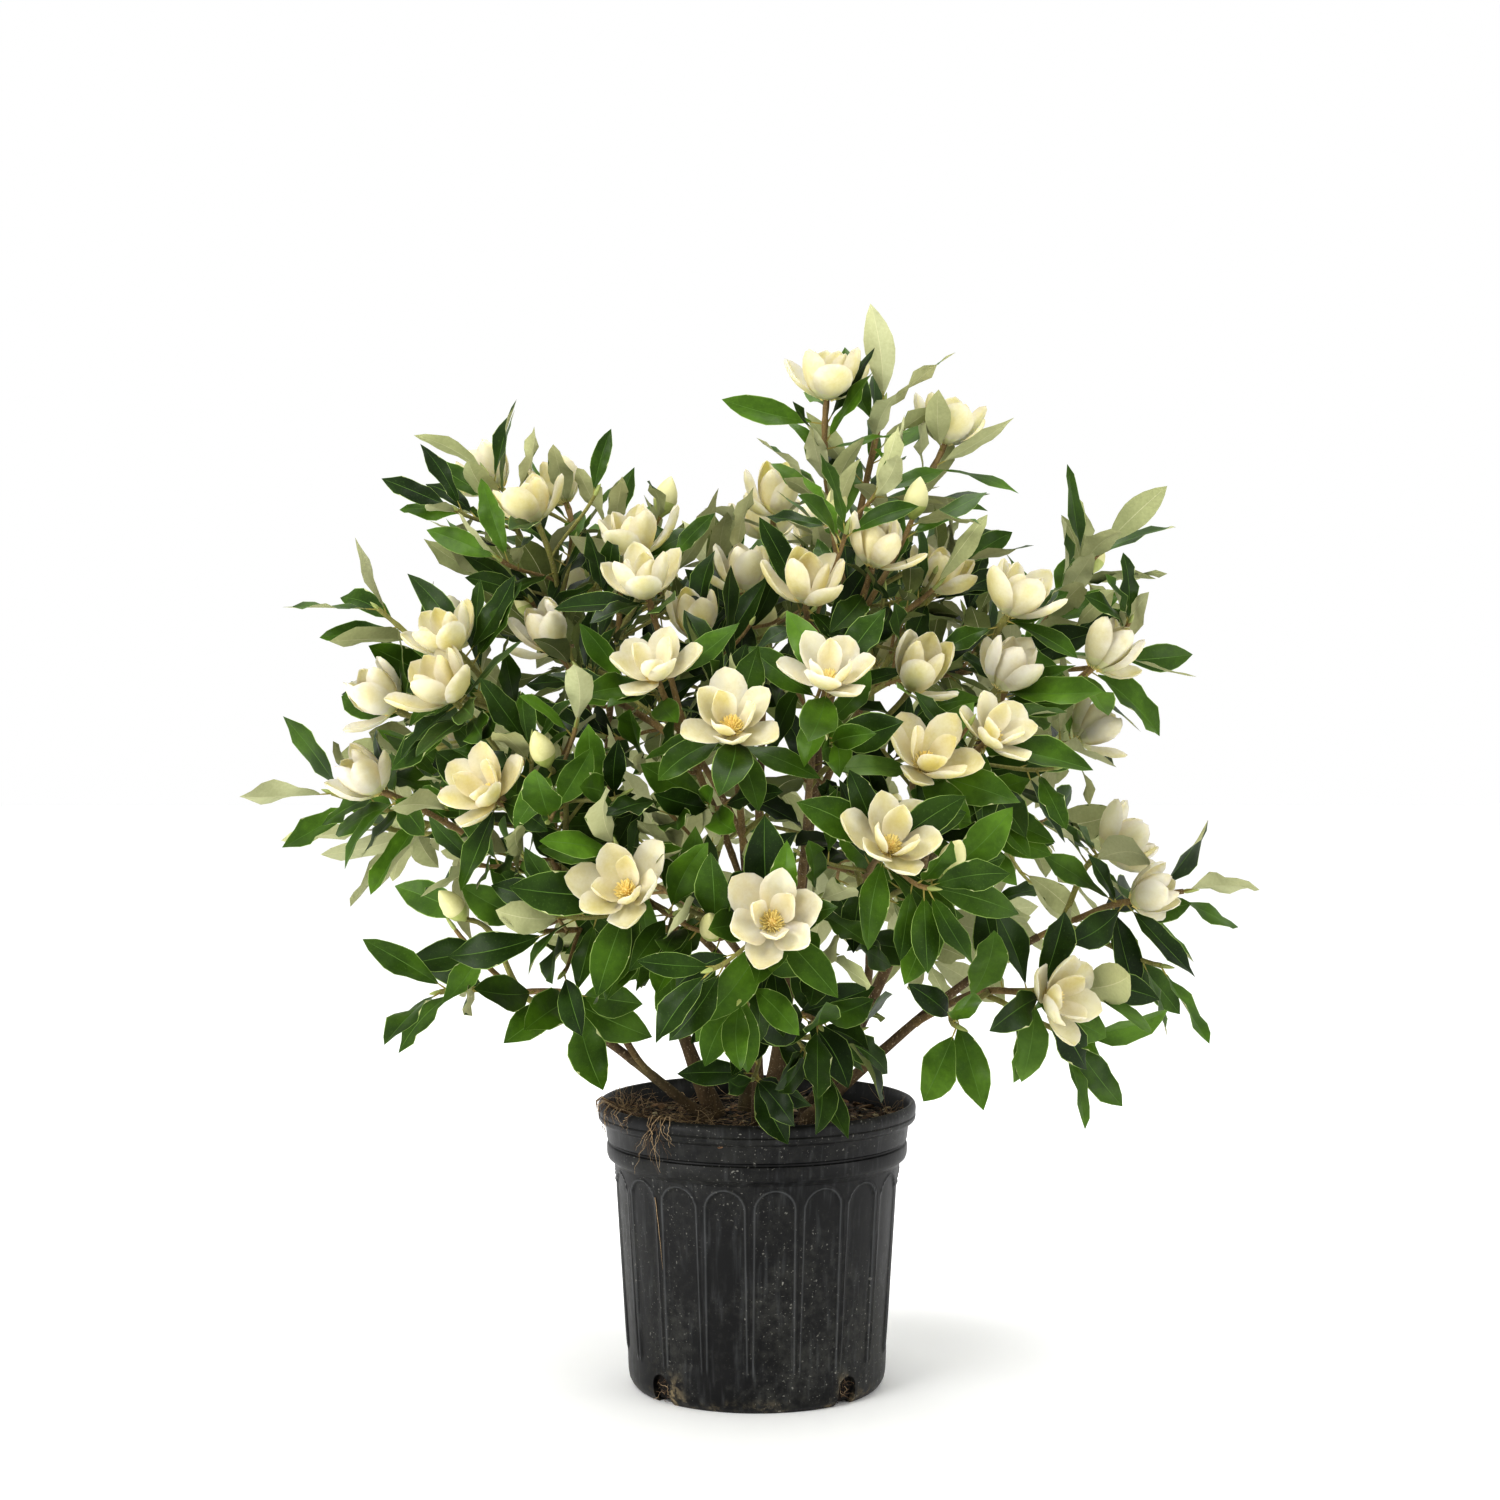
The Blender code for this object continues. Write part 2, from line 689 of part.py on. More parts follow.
def union_of(name, solids, finish, solver):
    """The solids joined by one union on a collection, with only the largest shell kept."""
    pieces = bpy.data.collections.new(name + "_pieces")
    bpy.context.scene.collection.children.link(pieces)
    for i, solid in enumerate(solids[1:]):
        piece = mesh_object(f"{name}_{i}", solid)
        bpy.context.scene.collection.objects.unlink(piece)
        pieces.objects.link(piece)
    made = mesh_object(name, solids[0], finish)
    union = made.modifiers.new("join", "BOOLEAN")
    union.operation = "UNION"
    union.operand_type = "COLLECTION"
    union.collection = pieces
    union.solver = solver
    apply_modifiers(made)
    for piece in list(pieces.objects):
        remove_object(piece)
    bpy.data.collections.remove(pieces)
    keep_largest_shell(made)
    return made


def join_mass(name, solids, finish):
    """All the pieces of one mass made one body. Where neither solver closes it, the last leaf is left off."""
    while True:
        for solver in ("EXACT", "MANIFOLD"):
            made = union_of(name, solids, finish, solver)
            if close_triangles(made):
                return made
            remove_object(made)
        solids = solids[:-1]


def seat_on(made, stem):
    """Cuts the foot of a bough or a twig to lie just clear of the stem that it leaves."""
    cutter = mesh_object("seat", stem.solid(SEAT_GAP))
    cut = made.modifiers.new("seat", "BOOLEAN")
    cut.operation = "DIFFERENCE"
    cut.solver = "EXACT"
    cut.object = cutter
    apply_modifiers(made)
    remove_object(cutter)
    keep_largest_shell(made)
    close_triangles(made)


def turned_wall(rows):
    """A wall turned about Z, closed at both ends.

    Each row is its height, its radius and how far each of a flute's columns is set in.
    """
    corners = []
    for height, radius, dips in rows:
        for column in range(COLUMNS):
            bearing = FLUTE_TURN + math.tau * (column - FLUTE_COLUMNS / 2) / COLUMNS
            reach = radius - dips[column % FLUTE_COLUMNS]
            corners.append(Vector((reach * math.cos(bearing), reach * math.sin(bearing), height)))
    faces = [tuple(range(COLUMNS)), tuple(range(len(corners) - 1, len(corners) - COLUMNS - 1, -1))]
    for row in range(len(rows) - 1):
        for column in range(COLUMNS):
            a = row * COLUMNS + column
            b = row * COLUMNS + (column + 1) % COLUMNS
            faces.append((a, a + COLUMNS, b + COLUMNS, b))
    return facing_out(corners, faces)


def body_radius(height):
    return between((BODY_LOW_RADIUS, BODY_TOP_RADIUS), (height - BODY_LOW) / (COLLAR_LOW - BODY_LOW))


def pot_rows():
    """The pot's outside from the foot up, then its inside from the lip down."""
    lip_low = POT_HEIGHT - LIP_DEPTH
    inside_collar = COLLAR_RADIUS - WALL - 0.0004
    outer = [
        (0.0, FOOT_RADIUS, FLAT),
        (FOOT_EDGE, FOOT_RADIUS + 0.0048, FLAT),
        (BODY_LOW, BODY_LOW_RADIUS, FLAT),
        (FLUTE_LOW, body_radius(FLUTE_LOW), DIPPED),
        (FLUTE_SHOULDER, body_radius(FLUTE_SHOULDER), DIPPED),
        (FLUTE_TOP, body_radius(FLUTE_TOP), FLAT),
        (COLLAR_LOW - 0.001, BODY_TOP_RADIUS, FLAT),
        (COLLAR_LOW, COLLAR_RADIUS - 0.0030, FLAT),
        (COLLAR_LOW + 0.004, COLLAR_RADIUS - 0.0004, FLAT),
        (lip_low - 0.001, COLLAR_RADIUS, FLAT),
        (lip_low, LIP_RADIUS - 0.0006, FLAT),
        (POT_HEIGHT - 0.003, LIP_RADIUS, FLAT),
        (POT_HEIGHT, LIP_RADIUS - 0.0025, FLAT),
    ]
    inner = [
        (POT_HEIGHT, LIP_RADIUS - 0.0050, FLAT),
        (lip_low - 0.004, inside_collar, FLAT),
        (COLLAR_LOW + 0.002, inside_collar - 0.0002, FLAT),
        (COLLAR_LOW - 0.006, BODY_TOP_RADIUS - WALL - FLUTE_DEPTH, FLAT),
        (BODY_LOW, BODY_LOW_RADIUS - WALL - FLUTE_DEPTH, FLAT),
        (WALL, FOOT_RADIUS - WALL, FLAT),
    ]
    return outer + inner


def drain_hole_solids():
    """One arched block for each hole, through the wall and down past the floor."""
    outline = [(-0.5, -0.010), (0.5, -0.010)]
    for step in range(DRAIN_ARCH_STEPS + 1):
        turn = math.pi * step / DRAIN_ARCH_STEPS
        outline.append((0.5 * math.cos(turn), DRAIN_HEIGHT - DRAIN_WIDTH * 0.5 * (1 - math.sin(turn))))
    middle = FOOT_RADIUS + 0.006
    count = len(outline)
    corners, faces = [], []
    for hole in range(DRAIN_HOLES):
        bearing = DRAIN_TURN + math.tau * hole / DRAIN_HOLES
        along = Vector((math.cos(bearing), math.sin(bearing), 0))
        across = Vector((-along.y, along.x, 0))
        first = len(corners)
        for distance in (middle - DRAIN_REACH / 2, middle + DRAIN_REACH / 2):
            for share, height in outline:
                corners.append(along * distance + across * (share * DRAIN_WIDTH) + Vector((0, 0, height)))
        faces.append(tuple(range(first, first + count)))
        faces.append(tuple(range(first + 2 * count - 1, first + count - 1, -1)))
        for i in range(count):
            a, b = first + i, first + (i + 1) % count
            faces.append((b, a, a + count, b + count))
    return facing_out(corners, faces)


def build_pot():
    pot = mesh_object("pot", turned_wall(pot_rows()), material("pot_plastic", (0.022, 0.023, 0.026), 0.42))
    cutter = mesh_object("drain_cutter", drain_hole_solids())
    cutter.hide_render = True
    cutter.display_type = "WIRE"
    cut = pot.modifiers.new("drain_holes", "BOOLEAN")
    cut.operation = "DIFFERENCE"
    cut.solver = "EXACT"
    cut.object = cutter
    pot.data.shade_smooth()
    pot.data.set_sharp_from_angle(angle=SHARP_EDGE)


def build_soil():
    inside = WALL + FLUTE_DEPTH + SOIL_CLEAR
    rows = [
        (WALL + GAP, FOOT_RADIUS - WALL - GAP - SOIL_CLEAR, FLAT),
        (BODY_LOW, BODY_LOW_RADIUS - inside, FLAT),
        (COLLAR_LOW - 0.006, BODY_TOP_RADIUS - inside, FLAT),
        (SOIL_TOP, body_radius(SOIL_TOP) - inside, FLAT),
    ]
    mesh_object("soil", turned_wall(rows), material("soil", (0.085, 0.048, 0.028), 0.95))


def stem_radii(foot, length):
    """The stem's taper, with the root flare at its foot."""
    radii = []
    for share in spread(0, 1, STEM_RINGS):
        radius = between((foot, LIMB_END_RADIUS), share**TAPER)
        in_flare = max(0.0, 1 - share * length / FLARE_HEIGHT)
        radii.append(radius * (1 + (FLARE - 1) * in_flare**2))
    return radii


def plan_stem(limbs, shoots, mass_name, row):
    """A stem that rises from the soil, and the mass that grows on from it."""
    stem_name, tip, bloom, sides = row
    foot, lean, radius = STEMS[stem_name]
    start = Vector((foot[0] * CM, foot[1] * CM, SOIL_TOP + GAP))
    end = vector_cm(tip)
    sideways = Vector((end.x - start.x, end.y - start.y, 0)).normalized()
    tilt = math.radians(lean)
    path = Path(start, sideways * math.sin(tilt) + Vector((0, 0, math.cos(tilt))), end, outward(end))
    radii = stem_radii(radius, path.length(0.0, STEM_SHARE))
    limbs[stem_name] = Limb(path, STEM_SHARE, radii, STEM_SIDES, start.z)
    main = Shoot(mass_name, path, STEM_SHARE + GAP / path.length(), LIMB_END_RADIUS, bloom)
    shoots[mass_name] = with_side_shoots(mass_name, main, sides)


def plan_bough(limbs, shoots, bough_name, row):
    """A bough that leaves a stem, and the mass that grows on from it."""
    stem_name, share, mass_name, tip, bloom, sides = row
    stem = limbs[stem_name]
    start = stem.path.point(share * stem.last)
    end = vector_cm(tip)
    way = stem.path.way(share * stem.last) * BOUGH_FOLLOWS + (end - start).normalized()
    path = Path(start, way, end, outward(end))
    radii = spread(stem.radius(share) * BOUGH_TO_STEM, LIMB_END_RADIUS, BOUGH_RINGS)
    limbs[bough_name] = Limb(path, BOUGH_SHARE, radii, BOUGH_SIDES)
    main = Shoot(mass_name, path, BOUGH_SHARE + GAP / path.length(), LIMB_END_RADIUS, bloom)
    shoots[mass_name] = with_side_shoots(mass_name, main, sides)


def plan_low_front(limbs, shoots):
    stem_name, share, mass_name, tip, bloom = LOW_FRONT
    stem = limbs[stem_name]
    start = stem.path.point(share * stem.last)
    end = vector_cm(tip)
    path = Path(start, stem.path.way(share * stem.last) + (end - start).normalized(), end, outward(end))
    shoots[mass_name] = [Shoot(mass_name, path, 0.0, LIMB_END_RADIUS, bloom)]


def build_limbs(limbs):
    bark = material("bark", (0.20, 0.125, 0.075), 0.85)
    for name, limb in limbs.items():
        made = mesh_object(name, limb.solid(), bark)
        if name in BOUGHS:
            seat_on(made, limbs[BOUGHS[name][0]])
        made.data.shade_smooth()
        made.data.set_sharp_from_angle(angle=LIMB_SHARP_EDGE)


def build_masses(limbs, shoots):
    foliage = material("foliage", (0.055, 0.16, 0.035), 0.40)
    pot_outside = turned_wall([(0.0, LIP_RADIUS, FLAT), (POT_HEIGHT, LIP_RADIUS, FLAT)])
    masses = Foliage(shoots, [limb.solid() for limb in limbs.values()] + [pot_outside])
    masses.grow()
    for name, solids in masses.solids.items():
        made = join_mass(name, solids, foliage)
        if name == LOW_FRONT[2]:
            seat_on(made, limbs[LOW_FRONT[0]])


def main():
    for old in list(bpy.data.objects):
        bpy.data.objects.remove(old)
    build_pot()
    build_soil()
    limbs = {}
    shoots = {}
    for mass_name, row in STEM_MASSES.items():
        plan_stem(limbs, shoots, mass_name, row)
    for bough_name, row in BOUGHS.items():
        plan_bough(limbs, shoots, bough_name, row)
    plan_low_front(limbs, shoots)
    build_limbs(limbs)
    build_masses(limbs, shoots)


main()
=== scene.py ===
# Looks of the potted sweetbay magnolia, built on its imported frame.
# Metres, +Z up, front towards -Y. Limbs, twigs and leaves grow by the rule of the part's source, with the
# same values, and go on to finer twigs inside the same reach.

import math
import random

import bmesh
import bpy
import numpy as np
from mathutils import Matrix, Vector, noise
from mathutils.bvhtree import BVHTree
from mathutils.kdtree import KDTree


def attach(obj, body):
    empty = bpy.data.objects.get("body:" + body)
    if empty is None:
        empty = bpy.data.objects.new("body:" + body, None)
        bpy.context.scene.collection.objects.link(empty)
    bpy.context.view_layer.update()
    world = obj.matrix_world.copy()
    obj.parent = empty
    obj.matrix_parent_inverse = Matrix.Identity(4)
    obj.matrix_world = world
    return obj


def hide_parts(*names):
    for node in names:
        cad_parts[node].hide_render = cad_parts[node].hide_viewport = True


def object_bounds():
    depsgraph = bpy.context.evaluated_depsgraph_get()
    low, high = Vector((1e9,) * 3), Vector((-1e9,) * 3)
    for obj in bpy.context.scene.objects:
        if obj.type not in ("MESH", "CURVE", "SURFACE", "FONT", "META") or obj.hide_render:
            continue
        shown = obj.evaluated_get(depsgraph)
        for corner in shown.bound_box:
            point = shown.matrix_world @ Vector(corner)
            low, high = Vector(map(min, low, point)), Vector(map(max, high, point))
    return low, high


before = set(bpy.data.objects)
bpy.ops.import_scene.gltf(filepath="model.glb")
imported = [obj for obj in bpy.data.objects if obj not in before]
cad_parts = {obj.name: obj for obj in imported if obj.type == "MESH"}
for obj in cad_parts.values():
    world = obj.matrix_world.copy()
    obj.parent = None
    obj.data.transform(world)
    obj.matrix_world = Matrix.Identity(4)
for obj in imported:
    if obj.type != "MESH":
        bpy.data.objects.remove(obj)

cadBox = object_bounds()
cm = 0.01
up = Vector((0, 0, 1))


def chance(*words):  # a fixed value from 0 to 1 that belongs to these words
    return random.Random("-".join(str(word) for word in words)).random()


def between(ends, share):
    return ends[0] + (ends[1] - ends[0]) * share


def progress(ends, value):  # how far the value lies from one end to the other, kept within 0 and 1
    return min(1.0, max(0.0, (value - ends[0]) / (ends[1] - ends[0])))


def spread(first, last, count):
    return [between((first, last), i / (count - 1)) for i in range(count)]


def turns(count):  # once round in equal steps
    return [math.tau * i / count for i in range(count)]


def around(way):  # two directions square to this one and to each other
    side = way.orthogonal().normalized()
    return side, way.cross(side)


def swing(first, second, turn):  # the direction that lies this far round from the first to the second
    return first * math.cos(turn) + second * math.sin(turn)


def onCircle(turn, radius, height):
    return Vector((radius * math.cos(turn), radius * math.sin(turn), height))


def polar(bearing, radius, height):  # the same with the bearing in degrees
    return onCircle(math.radians(bearing), radius, height)


# node trees, for materials and for geometry


class Wire:
    # a socket that takes part in sums: an expression on wires adds Math nodes
    def __init__(self, tree, socket):
        self.tree = tree
        self.socket = socket

    def __getitem__(self, name):  # another output of the same node
        return Wire(self.tree, self.socket.node.outputs[name])

    def __abs__(self):
        return self.work("ABSOLUTE")

    def work(self, operation, *others):
        return self.tree.maths(operation, self, *others)

    def atLeast(self, other):
        return self.work("MAXIMUM", other)

    def atMost(self, other):
        return self.work("MINIMUM", other)

    def ramp(self, low, high):  # rises smoothly from 0 to 1 between two values, or falls where low is higher
        values = {"Value": self, 1: low, 2: high}
        return self.tree.add("ShaderNodeMapRange", values, interpolation_type="SMOOTHSTEP")


def setSign(sign, operation):  # lets a sign of Python's work on wires, on whichever side the wire stands
    setattr(Wire, f"__{sign}__", lambda wire, other: wire.tree.maths(operation, wire, other))
    setattr(Wire, f"__r{sign}__", lambda wire, other: wire.tree.maths(operation, other, wire))


for sign, operation in (("add", "ADD"), ("sub", "SUBTRACT"), ("mul", "MULTIPLY"), ("truediv", "DIVIDE")):
    setSign(sign, operation)


class Tree:
    # builds one node tree
    def __init__(self, nodeTree):
        self.nodeTree = nodeTree

    def add(self, kind, values=None, output=0, **settings):
        node = self.nodeTree.nodes.new(kind)
        for name, setting in settings.items():
            setattr(node, name, setting)
        for key, value in (values or {}).items():
            if isinstance(value, Wire):
                self.nodeTree.links.new(value.socket, node.inputs[key])
            else:
                node.inputs[key].default_value = value
        return Wire(self, node.outputs[output]) if node.outputs else node

    def maths(self, operation, *terms):
        return self.add("ShaderNodeMath", dict(enumerate(terms)), operation=operation)

    def vector(self, operation, first, second):
        return self.add("ShaderNodeVectorMath", {0: first, 1: second}, operation=operation)

    def joined(self, x, y, z):
        return self.add("ShaderNodeCombineXYZ", {0: x, 1: y, 2: z})

    def parts(self, vector):  # its X, Y and Z
        x = self.add("ShaderNodeSeparateXYZ", {0: vector})
        return x, x["Y"], x["Z"]

    def mix(self, factor, first, second):  # of two colours, given as wires or as hex digits
        first, second = (shade(tone) if isinstance(tone, str) else tone for tone in (first, second))
        return self.add("ShaderNodeMix", {0: factor, 6: first, 7: second}, 2, data_type="RGBA")

    def noise(self, place, scale, detail=3.0, roughness=0.5):
        values = {"Vector": place, "Scale": scale, "Detail": detail, "Roughness": roughness}
        return self.add("ShaderNodeTexNoise", values)

    def bump(self, height, strength, distance):
        return self.add("ShaderNodeBump", {"Strength": strength, "Distance": distance, "Height": height})

    def surface(self, tone, roughness, *relief):
        return {"Base Color": tone, "Roughness": roughness, "Normal": self.bump(*relief)}

    def scattered(self, points, thing, turn, size):
        values = {"Points": points, "Instance": thing, "Rotation": turn, "Scale": size}
        return self.add("GeometryNodeInstanceOnPoints", values)


def shade(colour):  # an sRGB colour as hex digits, made linear for a socket
    parts = [int(colour[i:i + 2], 16) / 255 for i in (0, 2, 4)]
    linear = [part / 12.92 if part <= 0.04045 else ((part + 0.055) / 1.055) ** 2.4 for part in parts]
    return (*linear, 1.0)


def finish(name, recipe, *words, **values):
    # a Principled material whose sockets the recipe fills, as a dictionary
    made = bpy.data.materials.new(name)
    made.use_nodes = True
    made.node_tree.nodes.clear()
    tree = Tree(made.node_tree)
    place = tree.add("ShaderNodeTexCoord", output="Object")
    shader = tree.add("ShaderNodeBsdfPrincipled", {**recipe(tree, place, *words), **values})
    tree.add("ShaderNodeOutputMaterial", {"Surface": shader})
    return made


def startGroup(name, *labels):
    # a Geometry Nodes tree with these inputs between its mesh and its material
    group = bpy.data.node_groups.new(name, "GeometryNodeTree")
    kinds = {"Geometry": "Geometry", "Material": "Material", "Seed": "Int", "Columns": "Int"}
    for label in ("Geometry", *labels, "Material"):
        kind = "NodeSocket" + kinds.get(label, "Float")
        group.interface.new_socket(label, in_out="INPUT", socket_type=kind)
    group.interface.new_socket("Geometry", in_out="OUTPUT", socket_type="NodeSocketGeometry")
    tree = Tree(group)
    return tree, tree.add("NodeGroupInput")


def endGroup(tree, given, shape):
    real = tree.add("GeometryNodeRealizeInstances", {"Geometry": shape})
    real = tree.add("GeometryNodeSetMaterial", {"Geometry": real, "Material": given["Material"]})
    tree.add("NodeGroupOutput", {"Geometry": real})
    return tree.nodeTree


# objects and meshes


def placed(name, data):  # a new object in the scene
    made = bpy.data.objects.new(name, data)
    bpy.context.scene.collection.objects.link(made)
    return made


def meshOf(name, places, faces=()):
    mesh = bpy.data.meshes.new(name)
    mesh.from_pydata(places, [], faces)
    return mesh


def plainMesh(thing):  # what its modifiers make of it
    graph = bpy.context.evaluated_depsgraph_get()
    return bpy.data.meshes.new_from_object(thing.evaluated_get(graph))


def grown(name, mesh, group, material, **values):
    # the plain mesh that a node tree makes of this one; its input Dome Radius takes domeRadius
    source = placed(name, mesh)
    modifier = source.modifiers.new(group.name, "NODES")
    modifier.node_group = group
    for item in group.interface.items_tree:
        word = item.name[0].lower() + item.name[1:].replace(" ", "")
        if item.in_out == "INPUT" and word in values:
            kind = int if item.socket_type == "NodeSocketInt" else float
            modifier[item.identifier] = kind(values[word])
        if item.name == "Material":
            modifier[item.identifier] = material
    made = plainMesh(source)
    source.modifiers.remove(modifier)
    bpy.data.objects.remove(source)
    return made


def addPiece(name, mesh, materials, nodes, sharpAngle=60):
    mesh.name = name
    for material in materials:
        mesh.materials.append(material)
    mesh.shade_smooth()
    mesh.set_sharp_from_angle(angle=math.radians(sharpAngle))
    piece = placed(name, mesh)
    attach(piece, "root")
    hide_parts(*nodes)
    mesh.calc_loop_triangles()
    print(f"{name}: {len(mesh.loop_triangles)} triangles")


class Heap:
    # gathers many small shapes that become one piece
    def __init__(self):
        self.places = []
        self.faces = []
        self.finishes = []
        self.count = 0

    def add(self, places, faces, finishes=0):
        self.places.append(np.asarray(places, float).reshape(-1, 3))
        self.faces += [tuple(corner + self.count for corner in face) for face in faces]
        self.finishes += [finishes] * len(faces) if isinstance(finishes, int) else finishes
        self.count += len(self.places[-1])

    def tube(self, places, radii, sides, finishes=0):
        corners = rings(places, waysAlong(places), places[1] - places[0], radii, sides)
        self.add(corners, ringFaces(len(places), sides), finishes)

    def corners(self):
        return np.concatenate(self.places).tolist()

    def piece(self, name, materials, slot, nodes, sharpAngle=60):
        mesh = meshOf(name, self.corners(), self.faces)
        mesh.polygons.foreach_set("material_index", self.finishes)
        mesh.validate()
        addPiece(name, mesh, materials, nodes, sharpAngle)


def waysAlong(places):  # at each place, the way from the one before it to the one after it
    ends = [places[0], *places, places[-1]]
    return [(after - before).normalized() for before, after in zip(ends, ends[2:])]


def rings(places, ways, first, radii, sides):
    # rings of corners carried along a line of places without twist
    across = first.orthogonal().normalized()
    corners = []
    for place, way, radius in zip(places, ways, radii):
        across = (across - way * across.dot(way)).normalized()
        other = way.cross(across)
        corners += [place + swing(across, other, turn) * radius for turn in turns(sides)]
    return corners


def ringFaces(rows, sides):
    faces = [tuple(range(sides - 1, -1, -1)), tuple(range((rows - 1) * sides, rows * sides))]
    for row in range(rows - 1):
        for side in range(sides):
            a, b = row * sides + side, row * sides + (side + 1) % sides
            faces.append((a, b, b + sides, a + sides))
    return faces


# camera, floor and light

stageValues = {
    "cameraPlace": (-0.0062, -2.6, 0.679),
    "lens": 71.04,
    "sensor": 36.0,
    "pitch": -2.6,
    "farthest": 60,
    "floorSize": 16.0,
    "floorTones": ("ffffff", (0.8, 0.8, 0.8, 1)),
    "viewTransform": "Standard",
    "viewGamma": 0.82,  # a little more contrast, as in the photo
    "worldTone": (1.0, 1.0, 1.0, 1.0),
    "worldStrength": 1.0,
    "lights": [  # name, place, what it looks at, size, power
        ("keyLight", (-1.6, -2.4, 2.5), (0, 0, 0.5), 1.3, 56),
        ("fillLight", (2.2, -1.9, 1.5), (0, 0, 0.5), 1.8, 12),
        ("topLight", (0.1, 0.4, 3.0), (0, 0, 0.4), 1.5, 42),
        ("sideLight", (-2.1, -1.5, 0.5), (0, 0, 0.3), 0.9, 20),
        ("rimLight", (2.4, -1.0, 0.6), (0, 0, 0.4), 0.9, 10),
    ],
}


def paleFloorRecipe(tree, place):
    tone = tree.noise(place, 0.6, 1.0)
    return {"Base Color": tree.mix(tone * 0.03, *stageValues["floorTones"]), "Roughness": 0.75}


def setStage():
    values = stageValues
    scene = bpy.context.scene
    camera = placed("camera", bpy.data.cameras.new("camera"))
    camera.location = values["cameraPlace"]
    camera.rotation_euler = (math.radians(90 + values["pitch"]), 0, 0)
    camera.data.lens = values["lens"]
    camera.data.sensor_width = values["sensor"]
    camera.data.clip_end = values["farthest"]
    scene.camera = camera

    half = values["floorSize"] / 2
    corners = [(-half, -half, 0), (half, -half, 0), (half, half, 0), (-half, half, 0)]
    mesh = meshOf("floor", corners, [(0, 1, 2, 3)])
    mesh.materials.append(finish("paleFloor", paleFloorRecipe))
    floor = placed("floor", mesh)

    scene.world = bpy.data.worlds.new("studio")
    scene.world.use_nodes = True
    backdrop = scene.world.node_tree.nodes["Background"]
    backdrop.inputs["Color"].default_value = values["worldTone"]
    backdrop.inputs["Strength"].default_value = values["worldStrength"]
    scene.view_settings.view_transform = values["viewTransform"]
    scene.view_settings.gamma = values["viewGamma"]
    for name, place, target, size, power in values["lights"]:
        lamp = bpy.data.lights.new(name, "AREA")
        lamp.shape = "DISK"
        lamp.size = size
        lamp.energy = power
        light = placed(name, lamp)
        light.location = place
        light.rotation_euler = (Vector(target) - Vector(place)).to_track_quat("-Z", "Y").to_euler()
    print("stage set")


# the growth rule, with the values of the part's source

heart = Vector((0.0, 0.0, 0.40))  # every shoot ends pointing away from here

potShape = {
    "height": 0.252,
    "lipRadius": 0.1403,
    "collarRadius": 0.1326,
    "collarLow": 0.200,
    "bodyTopRadius": 0.1258,
    "bodyLowRadius": 0.1144,
    "bodyLow": 0.030,
    "footRadius": 0.1085,
    "wall": 0.0024,
    "bodyWall": 0.0035,
    "flutes": 18,
    "fluteDepth": 0.0011,
    "fluteLow": 0.034,
    "fluteShoulder": 0.1765,
    "fluteHalfWidth": 0.0165,
    "fluteTurn": -83,
    "fluteSoft": 0.0016,  # how gently a flute's edge turns
    "ridgeOut": 0.0012,  # the thin ridge round each flute
    "ridgeHeight": 0.0009,
    "columns": 288,
    "drainHoles": 4,
    "drainTurn": -47,
    "drainWidth": 0.020,
    "drainHeight": 0.026,
    "drainReach": 0.034,
    "drainOut": 0.006,  # the cutter's middle, past the foot
}

limbRule = {
    "soilTop": 0.234,
    "gap": 0.0003,
    "flare": 1.55,
    "flareHeight": 0.030,
    "taper": 0.8,
    "bow": 0.34,
    "stemRings": 7,
    "stemSides": 7,
    "stemShare": 0.66,
    "boughRings": 5,
    "boughSides": 5,
    "boughShare": 0.46,
    "boughToStem": 0.74,
    "boughFollows": 0.7,
    "endRadius": 0.0031,
    "potSides": 54,
}

twigRule = {
    "sides": 3,
    "longTwig": 0.12,
    "radius": 0.0029,
    "endRadius": 0.0020,
    "firstSide": 0.10,
    "nextSide": 0.16,
    "fillShare": 0.18,
    "fillReach": (0.075, 0.105),
    "fillAhead": 0.62,
    "fillAside": 0.80,
    "fillLift": 0.02,
    "finerPitch": 0.026,  # along a shoot, between its finer twigs
    "otherPitches": [  # the same in masses that the photo shows thinner or fuller
        (0.062, ("top_front", "top_right", "back_right", "front_right", "right_top")),
        (0.13, ("far_left", "left_up")),
        (1.0, ("leader", "left_low", "right_mid", "right_up", "right_low")),  # longer than any shoot
        (0.017, ("front_left", "front_low", "left_front")),
    ],
    "finerFirst": 0.08,  # shares of a shoot
    "finerSpan": 0.80,
    "finerLast": 0.9,
    "finerReach": (0.040, 0.080),
    "finerRadius": 0.0016,
    "farthestTip": 0.108,  # of a leaf on a finer twig, from the shoots of its mass
}

